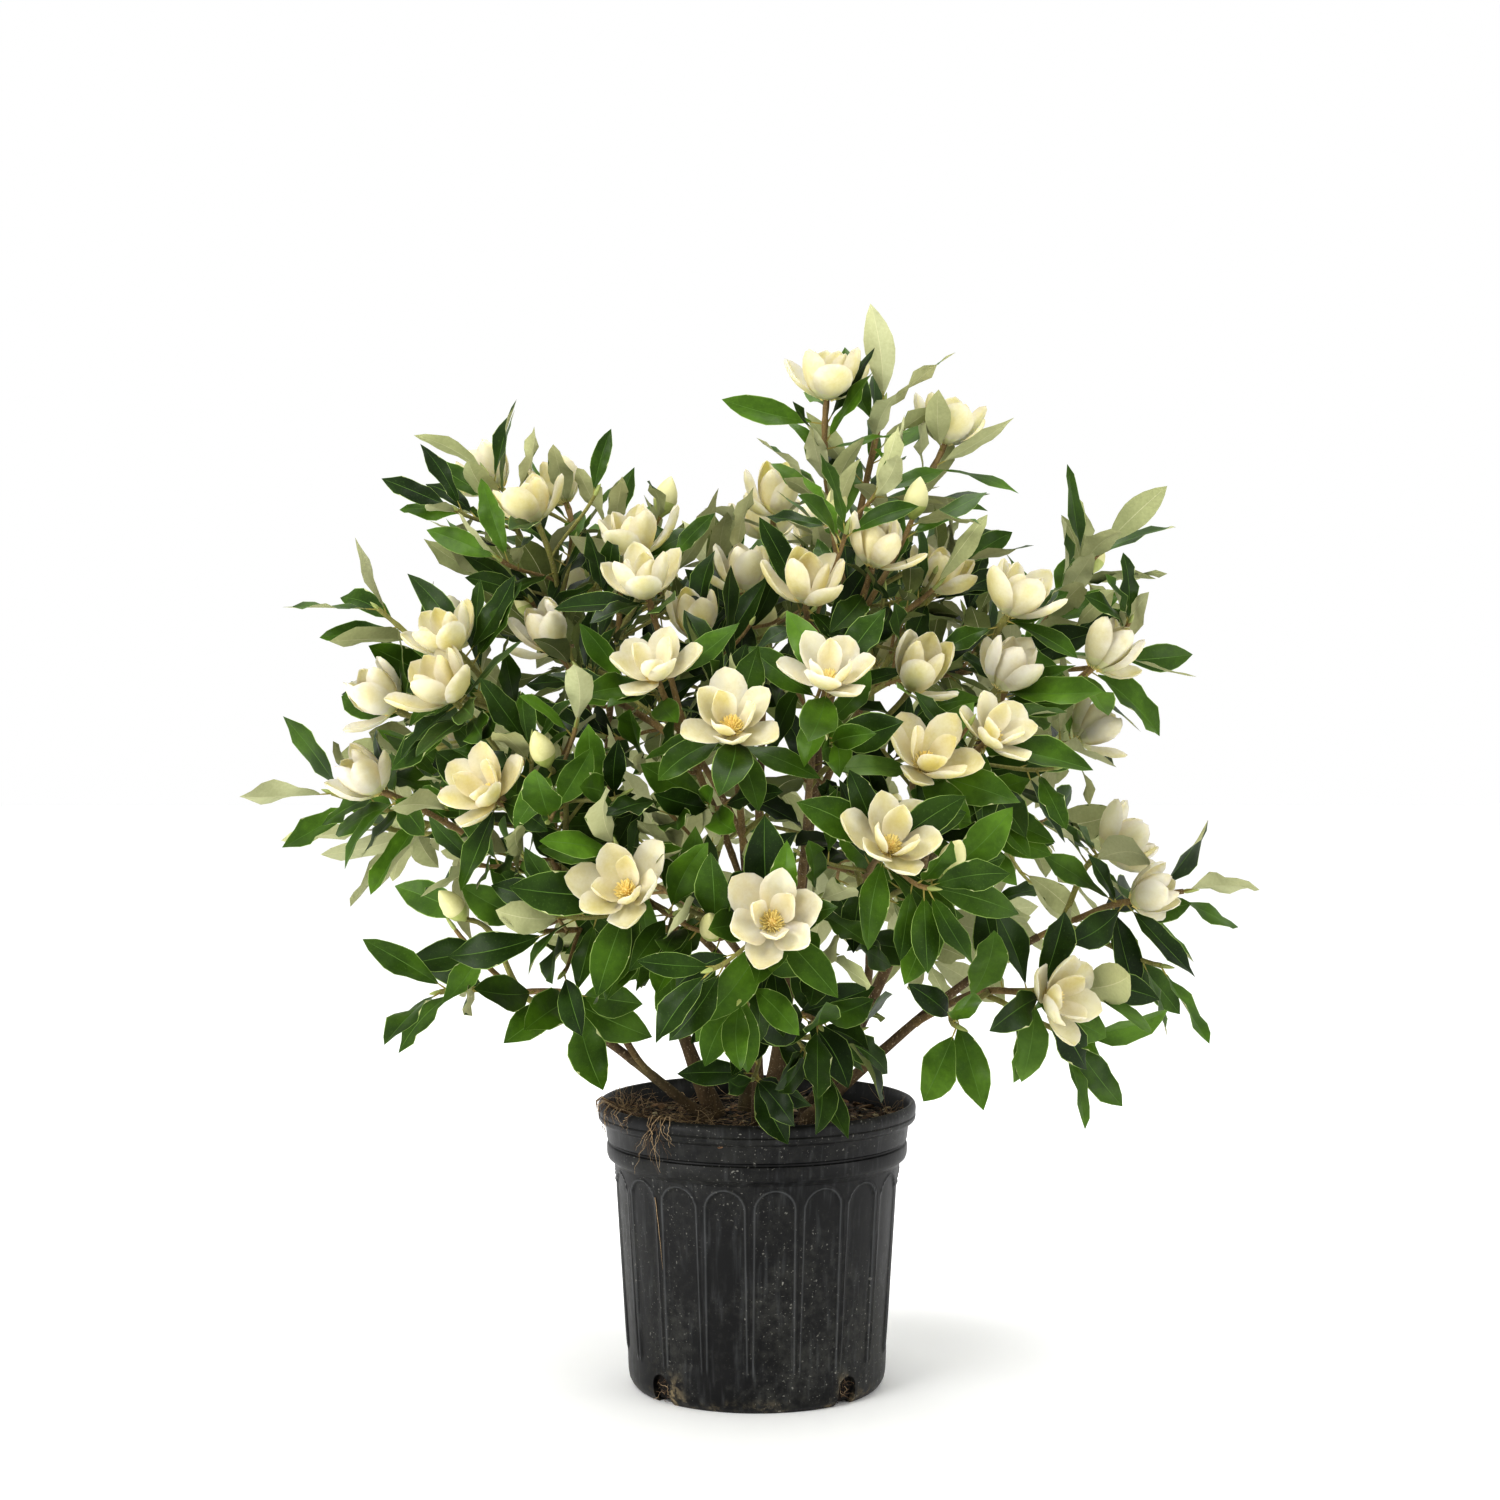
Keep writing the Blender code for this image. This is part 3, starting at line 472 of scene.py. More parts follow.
leafRule = {
    "length": 0.094,
    "width": 0.042,
    "sizes": (0.86, 1.12),
    "widest": 0.52,
    "fold": 0.028,
    "sunk": 0.0003,
    "sag": -0.10,
    "goldenTurn": math.radians(137.5),
    "crowding": 1.5,
    "firstLeaf": 0.2,
    "leastLeafy": 0.02,
    "bareFoot": 0.035,
    "bareNeck": 0.006,
    "tuftLeaves": 5,
    "tuftPitch": 0.019,
    "tuftLean": (30, 76),
    "bloomLeaves": 3,
    "bloomPitch": 0.028,
    "bloomLean": (70, 82),
    "leanSpread": 12,
    "tries": [(0, 0, 1.0), (28, -6, 1.0), (-28, 6, 0.95), (56, 6, 0.9), (-56, -8, 0.9), (90, 0, 0.85)],
    "rounds": 3,
    "clear": 0.0012,
    "spaceSlack": 0.015,
    "finerClear": 0.0004,
    "boxInset": 0.005,  # finer growth keeps this far inside the solids' box
    "finerSize": 0.80,
    "finerLeaves": 6,
    "bloomFrom": 0.58,  # finer twigs that end higher may hold a bud or a young bloom
    "bloomShare": 0.40,
    "budShare": 0.45,
    "collarLeaves": 6,  # more leaves that stand round the foot of each bloom
    "collarNeck": (0.004, 0.030),
    "collarFoot": 0.9,
    "collarLean": (74, 100),
    "collarTop": 0.74,  # higher blooms stand on bare stalks
    "risingFrom": 0.66,  # shoots that climb higher hold more leaves, which rise along them
    "risingPitch": 0.017,
    "topPitch": 0.009,  # the same for shoots that end above this height
    "topFrom": 0.86,
    "risingShares": (0.10, 0.92),
    "risingLean": (24, 48),
    "steepest": 0.5,
    "moreSize": 0.88,
    "midCrown": 0.06,  # blooms before it look to the front
    "bloomView": (0.020, 0.030, 0.034),  # up the bloom and ahead of it starts the free view, this wide
}

bloomRule = {  # petals, how far bellies and tips open (degrees), length
    "open": (6, 66, 60, 0.042),
    "cup": (5, 46, 30, 0.041),
    "half": (4, 32, 14, 0.039),
    "belly": 0.52,
    "notch": 0.70,
    "thickness": 0.0026,
    "sunk": 0.003,
    "stamenHeight": 0.013,
    "budSides": 5,
    "budProfile": [(-0.004, 0), (0.012, 0.0085), (0.026, 0.0060), (0.036, 0)],
}
flowerKinds = ("open", "cup", "half")

# stems: where each leaves the soil (cm), how far it leans out at the foot (degrees), its foot radius, and
# the mass that grows on from it. A mass's main shoot and side shoots are tips (cm) with what each ends in.
stems = {
    "leader": ((1.2, 0.8), 8, 0.0076, "leader", (11, 0, 86, "tuft"),
               (6, -4, 86.5, "cup"), (16.5, 1, 83, "cup"), (13, 4, 78, "tuft")),
    "right": ((4.3, 0.6), 34, 0.0066, "right_top", (30, 0, 73.5, "tuft"),
              (21, -12, 68, "cup"), (32, -3, 64.5, "tuft")),
    "left": ((-3.6, 1.3), 24, 0.0066, "left_top", (-23.5, 0, 80, "tuft"),
             (-19, -5, 76, "cup"), (-17, 4, 78, "half")),
    "front": ((0.3, -3.2), 30, 0.0058, "front_centre", (-2, -30, 59, "open"), (1, -20, 52, "tuft")),
    "low_left": ((-4.1, -2.0), 52, 0.0052, "left_low", (-26.5, -14, 36.5, "tuft"),
                 (-24, -18, 43, "bud"), (-15, -23, 37, "tuft")),
    "low_right": ((4.0, -3.0), 46, 0.0056, "right_mid", (37, -4, 44, "tuft"),
                  (30.5, -1, 47, "cup"), (32, -8, 43.5, "half")),
    "back": ((-0.8, 4.2), 16, 0.0062, "back_high", (1, 15, 75, "cup"), (-4, 20, 66, "open")),
}

# boughs and their masses: the stem, how far up its bare part the bough leaves it, and the shoots
boughs = {
    "top_front": ("leader", 0.80, (9.5, -16, 72, "half"), (4, -18, 69, "cup"), (13, -11, 76, "bud"),
                  (6.5, -11, 76, "bud")),
    "top_right": ("leader", 0.92, (17, -2, 72, "tuft"), (15, -7, 70, "cup")),
    "left_inner": ("left", 0.78, (-13, -2, 75.5, "tuft"), (-10, -9, 73, "cup"), (-8, 3, 71, "tuft")),
    "centre": ("back", 0.74, (-3, 0, 70.5, "tuft"), (-1, -7, 70, "half"), (-5, -12, 66, "half")),
    "left_up": ("left", 0.60, (-33, -2, 68.5, "tuft"), (-25, -14, 65, "cup"), (-30.5, -11, 60, "half")),
    "far_left": ("left", 0.40, (-37, -3, 52.5, "tuft"), (-32, -9, 53, "half"), (-33, 3, 49, "tuft")),
    "left_front": ("low_left", 0.40, (-21, -26, 53.5, "open"), (-25, -18, 61, "cup"),
                   (-16.5, -27, 56, "bud")),
    "front_left": ("front", 0.42, (-10, -33, 46.5, "open"), (-17, -27, 43, "tuft")),
    "front_low": ("front", 0.56, (1, -36, 44.5, "open"), (-3.5, -33, 43, "bud")),
    "front_right": ("right", 0.22, (10, -34, 50, "open"), (14.5, -32, 48, "bud")),
    "left_face": ("front", 0.80, (-8, -26, 63, "open"), (-9, -18, 69.5, "cup"), (-17, -11, 65, "half")),
    "right_face": ("leader", 0.45, (5.5, -28, 62.5, "open"), (12.5, -19, 62, "half")),
    "right_front": ("right", 0.50, (18.5, -24, 58, "open"), (13, -27, 56, "open")),
    "right_low": ("low_right", 0.50, (23.5, -22, 37, "open"), (26, -15, 33, "tuft"), (16, -24, 35, "tuft")),
    "right_up": ("right", 0.78, (28.5, -9, 63.5, "half"), (28, -2, 57, "half"), (20, -14, 62, "half")),
    "back_left_high": ("back", 0.60, (-15, 14, 70, "cup"), (-20, 10, 66, "tuft")),
    "back_right_high": ("leader", 0.62, (16, 14, 71, "open"), (22, 9, 66, "tuft")),
    "back_left": ("left", 0.50, (-27, 18, 55, "open"), (-31, 9, 60, "cup")),
    "back_right": ("right", 0.42, (27, 19, 56, "open"), (27, 13, 49, "tuft")),
    "back_low_left": ("back", 0.34, (-16, 29, 44, "open"), (-7, 31, 53, "cup")),
    "back_low_right": ("back", 0.46, (13, 31, 46, "open"), (21, 25, 38, "tuft")),
}

lowFront = ("front", 0.26, (5, -24, 35, "tuft"))  # the mass that stands on a stem with no bough


class Path:
    # a cubic curve from one place to another, with the direction at each end
    def __init__(self, start, startWay, end, endWay):
        reach = (end - start).length * limbRule["bow"]
        self.knots = (start, start + startWay.normalized() * reach, end - endWay.normalized() * reach, end)

    def point(self, share):
        a, b, c, d = self.knots
        rest = 1 - share
        return a * rest**3 + b * 3 * rest**2 * share + c * 3 * rest * share**2 + d * share**3

    def way(self, share):
        a, b, c, d = self.knots
        rest = 1 - share
        return ((b - a) * rest**2 + (c - b) * 2 * rest * share + (d - c) * share**2).normalized()

    def length(self, first=0.0, last=1.0):
        places = [self.point(share) for share in spread(first, last, 13)]
        return sum((b - a).length for a, b in zip(places, places[1:]))

    def tube(self, shares, radii, sides):
        places, ways = [self.point(share) for share in shares], [self.way(share) for share in shares]
        return rings(places, ways, ways[0], radii, sides), ringFaces(len(shares), sides)


def coarseBlade(root, along, normal, length, width):
    across = along.cross(normal).normalized()
    normal = across.cross(along).normalized()
    middle = root + along * (length * leafRule["widest"]) + normal * (length * leafRule["fold"])
    aside = across * (width / 2)
    corners = [root - along * leafRule["sunk"], middle - aside, middle + aside, root + along * length]
    return corners, [(0, 1, 2), (3, 2, 1), (0, 3, 1), (0, 2, 3)]


def coarseBud(place, way):
    axes = around(way)
    profile, sides = bloomRule["budProfile"], bloomRule["budSides"]
    corners = [place + way * profile[0][0], place + way * profile[-1][0]]
    for height, radius in profile[1:-1]:
        corners += [place + way * height + swing(*axes, turn) * radius for turn in turns(sides)]
    faces = []
    for side in range(sides):
        low, lowNext = 2 + side, 2 + (side + 1) % sides
        high, highNext = low + sides, lowNext + sides
        faces += [(0, lowNext, low), (1, high, highNext), (low, lowNext, highNext), (low, highNext, high)]
    return corners, faces


def coarseBowl(kind, place, way):
    petals, bellyTurn, tipTurn, length = bloomRule[kind]
    axes = around(way)

    def spot(petal, opening, reach, inner=0.0):
        side = swing(*axes, math.tau * petal / petals)
        opening = math.radians(opening)
        inward = way * math.sin(opening) - side * math.cos(opening)
        return place + swing(way, side, opening) * reach + inward * inner

    corners = [place - way * bloomRule["sunk"], place + way * bloomRule["stamenHeight"]]
    for inner in (0.0, bloomRule["thickness"]):
        corners += [spot(petal, bellyTurn, length * bloomRule["belly"], inner) for petal in range(petals)]
    rim = len(corners)
    for petal in range(petals):
        corners.append(spot(petal, tipTurn, length))
        corners.append(spot(petal + 0.5, (bellyTurn + tipTurn) / 2, length * bloomRule["notch"]))
    faces = []
    for petal in range(petals):
        beside = (petal + 1) % petals
        tip = rim + 2 * petal
        notch, nextTip = tip + 1, rim + 2 * beside
        for apex, ring in ((0, 2), (1, 2 + petals)):
            belly, nextBelly = ring + petal, ring + beside
            faces += [(apex, nextBelly, belly), (belly, notch, tip)]
            faces += [(belly, nextBelly, notch), (nextBelly, nextTip, notch)]
    return corners, faces


class Limb:
    # a stem or a bough: the first part of a path, up to where it enters its mass
    def __init__(self, path, last, radii, sides):
        self.path = path
        self.last = last
        self.radii = radii
        self.sides = sides

    def solid(self):
        return self.path.tube(spread(0.0, self.last, len(self.radii)), self.radii, self.sides)

    def radius(self, share):
        place = share * (len(self.radii) - 1)
        low = min(int(place), len(self.radii) - 2)
        return between(self.radii[low:low + 2], place - low)


class Shoot:
    # a leafy twig, from a first share of its path to the end, with what it ends in
    def __init__(self, name, path, first, radius, bloom):
        self.name = name
        self.path = path
        self.first = first
        self.radius = radius
        self.bloom = bloom
        self.length = path.length(first)
        self.leaves = []
        self.shares = spread(first, 1.0, 4 if self.length > twigRule["longTwig"] else 3)
        self.tip = path.point(1.0)
        self.tipWay = path.way(1.0)

    def solid(self):
        radii = spread(self.radius, min(self.radius, twigRule["endRadius"]), len(self.shares))
        return self.path.tube(self.shares, radii, twigRule["sides"])

    def flower(self):  # the solid of what it ends in
        if self.bloom == "bud":
            return coarseBud(self.tip, self.tipWay)
        return coarseBowl(self.bloom, self.tip, self.tipWay)

    def axis(self, share):
        low, high = next(pair for pair in zip(self.shares, self.shares[1:]) if share <= pair[1])
        start = self.path.point(low)
        run = self.path.point(high) - start
        return start + run * ((share - low) / (high - low)), run.normalized()

    def axisAt(self, share):  # the same for a share of its leafy part
        return self.axis(between((self.first, 1.0), share))

    def skeleton(self):
        steps = max(2, round(self.length / cm))
        return [self.path.point(share) for share in spread(self.first, 1.0, steps)]

    def view(self):
        # where the free view of its bloom starts, and the way it looks: out of the crown's front or back
        rise, ahead = leafRule["bloomView"][:2]
        way = Vector((0, -1 if self.tip.y < leafRule["midCrown"] else 1, 0))
        return self.tip + self.tipWay * rise + way * ahead, way


class Leaf:
    # one blade: where it stands, which way it points, and the share of its shoot that it stands at
    def __init__(self, shoot, number, share, root, along, normal, scale):
        self.shoot = shoot
        self.number = number
        self.share = share
        self.root = root
        self.along = along
        self.normal = normal
        self.length = leafRule["length"] * scale
        self.solid = coarseBlade(root, along, normal, self.length, leafRule["width"] * scale)


def outward(place):
    return (place - heart).normalized()


def shootsOf(massName, main, sides):
    shoots = [main]
    for i, (*tip, bloom) in enumerate(sides):
        start, way = main.axisAt(twigRule["firstSide"] + twigRule["nextSide"] * i)
        end = Vector(tip) * cm
        path = Path(start, way + (end - start).normalized(), end, outward(end))
        shoots.append(Shoot(f"{massName}-side{i}", path, 0.0, twigRule["radius"], bloom))
    return shoots


def shortTwig(name, shoot, share, turn, reach, radius):
    start, way = shoot.axisAt(share)
    radial = swing(*around(way), turn)
    end = start + (way * twigRule["fillAhead"] + radial * twigRule["fillAside"]) * reach
    path = Path(start, way + radial, end, end - start + Vector((0, 0, twigRule["fillLift"])))
    return Shoot(name, path, 0.0, radius, "tuft")


def bladeChoices(shoot, number, down, turn, lean, scale=1.0):
    # the blades that one leaf may take, this far below the tip of its shoot
    rule = leafRule
    share = 1.0 - (1.0 - shoot.first) * down / shoot.length
    place, way = shoot.axis(share)
    axes = around(way)
    lean += rule["leanSpread"] * (chance(shoot.name, number, "lean") - 0.5)
    size = between(rule["sizes"], chance(shoot.name, number, "size")) * scale
    choices = []
    for moreTurn, moreLean, smaller in rule["tries"]:
        radial = swing(*axes, turn + number * rule["goldenTurn"] + math.radians(moreTurn))
        tilt = math.radians(lean + moreLean)
        along = swing(way, radial, tilt) + Vector((0, 0, rule["sag"]))
        normal = way * math.sin(tilt) - radial * math.cos(tilt)
        choices.append(Leaf(shoot, number, share, place, along.normalized(), normal, size * smaller))
    return choices


def leafChoices(shoot, least=leafRule["tuftLeaves"], scale=1.0):
    # for each leaf of a shoot, from the tip down: the blades it may take
    rule = leafRule
    leafy = max(rule["leastLeafy"], shoot.length - rule["bareFoot"])
    pitch, neck, leans = rule["tuftPitch"], 0.0, rule["tuftLean"]
    if shoot.bloom != "tuft":
        least, pitch = rule["bloomLeaves"], rule["bloomPitch"]
        neck, leans = rule["bareNeck"], rule["bloomLean"]
    count = max(least, round(leafy / pitch))
    firstTurn = math.tau * chance(shoot.name, "turn")
    leaves = []
    for number in range(count):
        fromTip = (number + rule["firstLeaf"]) / count
        down = fromTip ** rule["crowding"] * leafy + neck
        leaves.append(bladeChoices(shoot, number, down, firstTurn, between(leans, fromTip), scale))
    return leaves


def moreChoices(shoot):
    # the same for leaves that stand round the foot of a bloom, or rise along a shoot high in the crown
    rule, name, tip = leafRule, shoot.name, shoot.tip
    if shoot.bloom in flowerKinds and tip.z < rule["collarTop"]:
        word, firstNumber, count = "collar", 100, rule["collarLeaves"]
        downs = [min(between(rule["collarNeck"], (i + 0.5) / count), shoot.length * rule["collarFoot"])
                 for i in range(count)]
    elif tip.z > rule["risingFrom"] and shoot.tipWay.z > rule["steepest"] and "finer" not in name:
        word, firstNumber = "rising", 200
        count = round(shoot.length / rule["topPitch" if tip.z > rule["topFrom"] else "risingPitch"])
        downs = [shoot.length * between(rule["risingShares"], (i + 0.5) / count) for i in range(count)]
    else:
        return []
    turn = math.tau * chance(name, word)
    leans = [between(rule[word + "Lean"], chance(name, i, word + " lean")) for i in range(count)]
    return [bladeChoices(shoot, firstNumber + i, down, turn, lean, rule["moreSize"])
            for i, (down, lean) in enumerate(zip(downs, leans))]


def treeOf(solids):
    corners, faces = [], []
    for someCorners, someFaces in solids:
        faces += [tuple(corner + len(corners) for corner in face) for face in someFaces]
        corners += someCorners
    return BVHTree.FromPolygons(corners, faces) if faces else None


def pointsTree(places):
    tree = KDTree(len(places))
    for i, place in enumerate(places):
        tree.insert(place, i)
    tree.balance()
    return tree


def touches(solid, trees, clear):
    corners, faces = solid
    middle = sum(corners, Vector()) / len(corners)
    swollen = treeOf([([corner + (corner - middle).normalized() * clear for corner in corners], faces)])
    return any(tree is not None and swollen.overlap(tree) for tree in trees)


def covers(corners, start, way):
    # whether any of the corners stands in the free view of a bloom
    for corner in corners:
        ahead = (corner - start).dot(way)
        if ahead > 0 and (corner - start - way * ahead).length < leafRule["bloomView"][2]:
            return True
    return False


def inBox(corner):  # whether it lies well inside the solids' box
    inset = leafRule["boxInset"]
    return all(low + inset < value < high - inset for low, value, high in zip(cadBox[0], corner, cadBox[1]))


class Crown:
    # the shoots and leaves of every mass: a short twig or a leaf stays only where it is free
    def __init__(self, shoots, obstacles):
        self.shoots = shoots
        self.obstacles = treeOf(obstacles)
        self.blooms = {name: [shoot.flower() for shoot in some if shoot.bloom != "tuft"]
                       for name, some in shoots.items()}
        flowers = [shoot for some in shoots.values() for shoot in some if shoot.bloom in flowerKinds]
        self.views = [shoot.view() for shoot in flowers]
        self.solids, self.leaves, self.ownPoints = {}, {}, {}
        everyPlace = []
        for name, some in shoots.items():
            self.solids[name] = [shoot.solid() for shoot in some] + self.blooms[name]
            self.leaves[name] = []
            places = [place for shoot in some for place in shoot.skeleton()]
            self.ownPoints[name] = pointsTree(places)
            everyPlace += places
        self.allPoints = pointsTree(everyPlace)

    def treesFor(self, name):  # what the growth of a mass must not touch
        others = treeOf([solid for other, some in self.solids.items() if other != name for solid in some])
        return others, self.obstacles, treeOf(self.blooms[name])

    def leafTree(self, name):
        return treeOf([leaf.solid for leaf in self.leaves[name]])

    def fits(self, name, solid, trees, clear, farthest=None):
        corners, tip = solid[0], solid[0][-1]
        own = self.ownPoints[name].find(tip)[2]
        if farthest and (own > farthest or not all(inBox(corner) for corner in corners)):
            return False
        if farthest and any(covers(corners, *view) for view in self.views):
            return False
        if own > self.allPoints.find(tip)[2] + leafRule["spaceSlack"]:
            return False
        return not touches(solid, trees, clear)

    def keepTwig(self, name, twig):
        self.solids[name].append(twig.solid())
        self.shoots[name].append(twig)

    def keepLeaves(self, name, leaves, trees, *limits):  # of each leaf, the first blade that is free
        for choices in leaves:
            own = self.leafTree(name)
            for leaf in choices:
                if self.fits(name, leaf.solid, (*trees, own), *limits):
                    self.solids[name].append(leaf.solid)
                    self.leaves[name].append(leaf)
                    leaf.shoot.leaves.append(leaf)
                    break

    def growMain(self):  # what the solids hold
        rule, clear, rounds = twigRule, leafRule["clear"], leafRule["rounds"]
        waiting = {}
        for name, some in self.shoots.items():
            turn = math.tau * chance(name, "fill")
            reach = between(rule["fillReach"], chance(name, 0, "reach"))
            twig = shortTwig(f"{name}-fill0", some[0], rule["fillShare"], turn, reach, rule["radius"])
            if self.fits(name, twig.solid(), self.treesFor(name), clear):
                self.keepTwig(name, twig)
            waiting[name] = [leafChoices(shoot) for shoot in some]
        for i in range(rounds):
            for name, leavesByShoot in waiting.items():
                trees = self.treesFor(name)
                for leaves in leavesByShoot:
                    count = math.ceil(len(leaves) / rounds)
                    self.keepLeaves(name, leaves[i * count:(i + 1) * count], trees, clear)

    def growFiner(self):  # finer twigs with leaves of their own, within the reach of their mass
        rule, limits = twigRule, (leafRule["finerClear"], twigRule["farthestTip"])
        for name, some in self.shoots.items():
            trees = self.treesFor(name)
            place = name.removeprefix("leaves_")
            pitches = [pitch for pitch, places in rule["otherPitches"] if place in places]
            pitch = pitches[0] if pitches else rule["finerPitch"]
            for shoot in list(some):
                for i in range(round(shoot.length / pitch)):
                    share = rule["finerFirst"] + rule["finerSpan"] * (i + 0.5) * pitch / shoot.length
                    share = min(share, rule["finerLast"])
                    turn = math.tau * chance(shoot.name, "finer", "turn") + i * leafRule["goldenTurn"]
                    reach = between(rule["finerReach"], chance(shoot.name, i, "finer reach"))
                    twigName = f"{shoot.name}-finer{i}"
                    twig = shortTwig(twigName, shoot, share, turn, reach, rule["finerRadius"])
                    nearby = (*trees, self.leafTree(name))
                    if not self.fits(name, twig.solid(), nearby, *limits):
                        continue
                    self.keepTwig(name, twig)
                    if self.endsInBloom(name, twig, nearby, *limits):
                        trees = (*trees[:2], treeOf(self.blooms[name]))
                    leaves = leafChoices(twig, leafRule["finerLeaves"], leafRule["finerSize"])
                    self.keepLeaves(name, leaves, trees, *limits)
            for shoot in some:
                self.keepLeaves(name, moreChoices(shoot), trees, *limits)

    def endsInBloom(self, name, twig, trees, *limits):
        # some finer twigs high in the crown end in a bud or a young bloom
        rule = leafRule
        if twig.tip.z < rule["bloomFrom"] or chance(twig.name, "ends") > rule["bloomShare"]:
            return False
        twig.bloom = "bud" if chance(twig.name, "kind") < rule["budShare"] else "half"
        solid = twig.flower()
        if not self.fits(name, solid, trees, *limits):
            twig.bloom = "tuft"
            return False
        self.blooms[name].append(solid)
        self.solids[name].append(solid)
        if twig.bloom in flowerKinds:
            self.views.append(twig.view())
        return True

    def report(self, words):
        print(words, sum(len(some) for some in self.leaves.values()))


def planPlant():
    # the limbs of the plant, and the shoots of each mass
    rule = limbRule
    limbs, shoots = {}, {}

    def addMass(word, path, last, bloom, sides=()):  # it grows on past this share of a limb's path
        name = "leaves_" + word
        first = last + rule["gap"] / path.length() if last else 0.0
        shoots[name] = shootsOf(name, Shoot(name, path, first, rule["endRadius"], bloom), sides)

    def pathFrom(stem, share, tip, follows):  # leaves the bare part of a stem at this share
        share, end = share * stem.last, Vector(tip) * cm
        start = stem.path.point(share)
        return Path(start, stem.path.way(share) * follows + (end - start).normalized(), end, outward(end))

    for word, (foot, lean, footRadius, place, (*tip, bloom), *sides) in stems.items():
        start = Vector((foot[0] * cm, foot[1] * cm, rule["soilTop"] + rule["gap"]))
        end = Vector(tip) * cm
        sideways = Vector((end.x - start.x, end.y - start.y, 0)).normalized()
        path = Path(start, swing(up, sideways, math.radians(lean)), end, outward(end))
        length = path.length(0.0, rule["stemShare"])
        radii = []
        for share in spread(0, 1, rule["stemRings"]):
            inFlare = max(0.0, 1 - share * length / rule["flareHeight"])
            radius = between((footRadius, rule["endRadius"]), share ** rule["taper"])
            radii.append(radius * (1 + (rule["flare"] - 1) * inFlare**2))
        limbs["stem_" + word] = Limb(path, rule["stemShare"], radii, rule["stemSides"])
        addMass(place, path, rule["stemShare"], bloom, sides)
    for word, (stemWord, share, (*tip, bloom), *sides) in boughs.items():
        stem = limbs["stem_" + stemWord]
        path = pathFrom(stem, share, tip, rule["boughFollows"])
        radii = spread(stem.radius(share) * rule["boughToStem"], rule["endRadius"], rule["boughRings"])
        limbs["bough_" + word] = Limb(path, rule["boughShare"], radii, rule["boughSides"])
        addMass(word, path, rule["boughShare"], bloom, sides)
    stemWord, share, (*tip, bloom) = lowFront
    addMass("low_front", pathFrom(limbs["stem_" + stemWord], share, tip, 1.0), 0.0, bloom)
    return limbs, shoots


def potSpace():  # a plain solid in the pot's place
    count, radius = limbRule["potSides"], potShape["lipRadius"]
    corners = [onCircle(turn, radius, z) for z in (0.0, potShape["height"]) for turn in turns(count)]
    return corners, ringFaces(2, count)


# bark

barkValues = {
    "ringPitch": 0.005,
    "stemSides": 16,
    "boughSides": 12,
    "relief": 0.055,  # of the radius
    "scarPitch": 0.024,
    "scarHeight": 0.00022,
    "scarReach": 0.003,
    "collarSwell": 0.35,
    "collarReach": 0.006,
    "footDepth": 0.004,  # how deep a stem's foot stands in the soil
    "stemTone": ("362a1c", "705d42"),
    "boughTone": ("463823", "85704a"),
}


def barkRecipe(tree, place, dark, light, scale=1.0):
    ridges = tree.noise(tree.vector("MULTIPLY", place, (1, 1, 0.25)), 260 * scale, 4.0, 0.65)
    patches = tree.noise(place, 38 * scale, 3.0)
    specks = tree.noise(place, 520 * scale, 2.0).ramp(0.60, 0.70)
    tone = tree.mix((ridges * 0.6 + patches * 0.6 - 0.1).ramp(0.2, 0.8), dark, light)
    tone = tree.mix(specks * 0.55, tone, "b9a88c")
    tone = tree.mix(tree.noise(place, 14, 2.0).ramp(0.52, 0.75) * 0.35, tone, "6d7050")
    return tree.surface(tone, 0.72 + ridges * 0.2, ridges + specks * 0.5, 0.5, 0.0006)


def addLimb(heap, limb, name, sides):
    # a limb with its taper, bark ridges, ring scars and, where it leaves a stem, a swollen collar
    values = barkValues
    pitch = values["scarPitch"]
    isBough = name.startswith("bough")
    length = limb.path.length(0.0, limb.last)
    places, radii = [], []
    for share in spread(0.0, 1.0, max(8, round(length / values["ringPitch"]))):
        along = share * length
        nearest = min(along % pitch, pitch - along % pitch)
        scar = values["scarHeight"] * max(0.0, 1 - nearest / values["scarReach"])
        radius = limb.radius(share) + scar * (0.5 + chance(name, round(along / pitch)))
        if isBough:
            radius *= 1 + values["collarSwell"] * math.exp(-along / values["collarReach"])
        places.append(limb.path.point(share * limb.last))
        radii.append(radius)
    corners = rings(places, waysAlong(places), limb.path.way(0.0), radii, sides)
    seed = chance(name) * 40
    for i, corner in enumerate(corners):
        row, side = divmod(i, sides)
        x, y = math.cos(math.tau * side / sides), math.sin(math.tau * side / sides)
        rough = noise.noise(Vector((x * 1.6 + seed, y * 1.6, row * 0.16)))
        fine = noise.noise(Vector((x * 4 + seed, y * 4, row * 0.5 + 9)))
        relief = values["relief"] * (1.3 * rough + 0.6 * fine)
        corners[i] = places[row] + (corner - places[row]) * (1 + relief)
    if not isBough:
        for corner in corners[:sides]:
            corner.z = limbRule["soilTop"] - values["footDepth"]
    heap.add(corners, ringFaces(len(places), sides))


def buildLimbs(limbs):
    for kind in ("stem", "bough"):
        bark = finish(kind + "_bark", barkRecipe, *barkValues[kind + "Tone"], **{"Specular IOR Level": 0.3})
        names = [name for name in limbs if name.startswith(kind)]
        heap = Heap()
        for name in names:
            addLimb(heap, limbs[name], name, barkValues[kind + "Sides"])
        heap.piece(f"bark_{kind}s", [bark], "bark", names)


# twigs

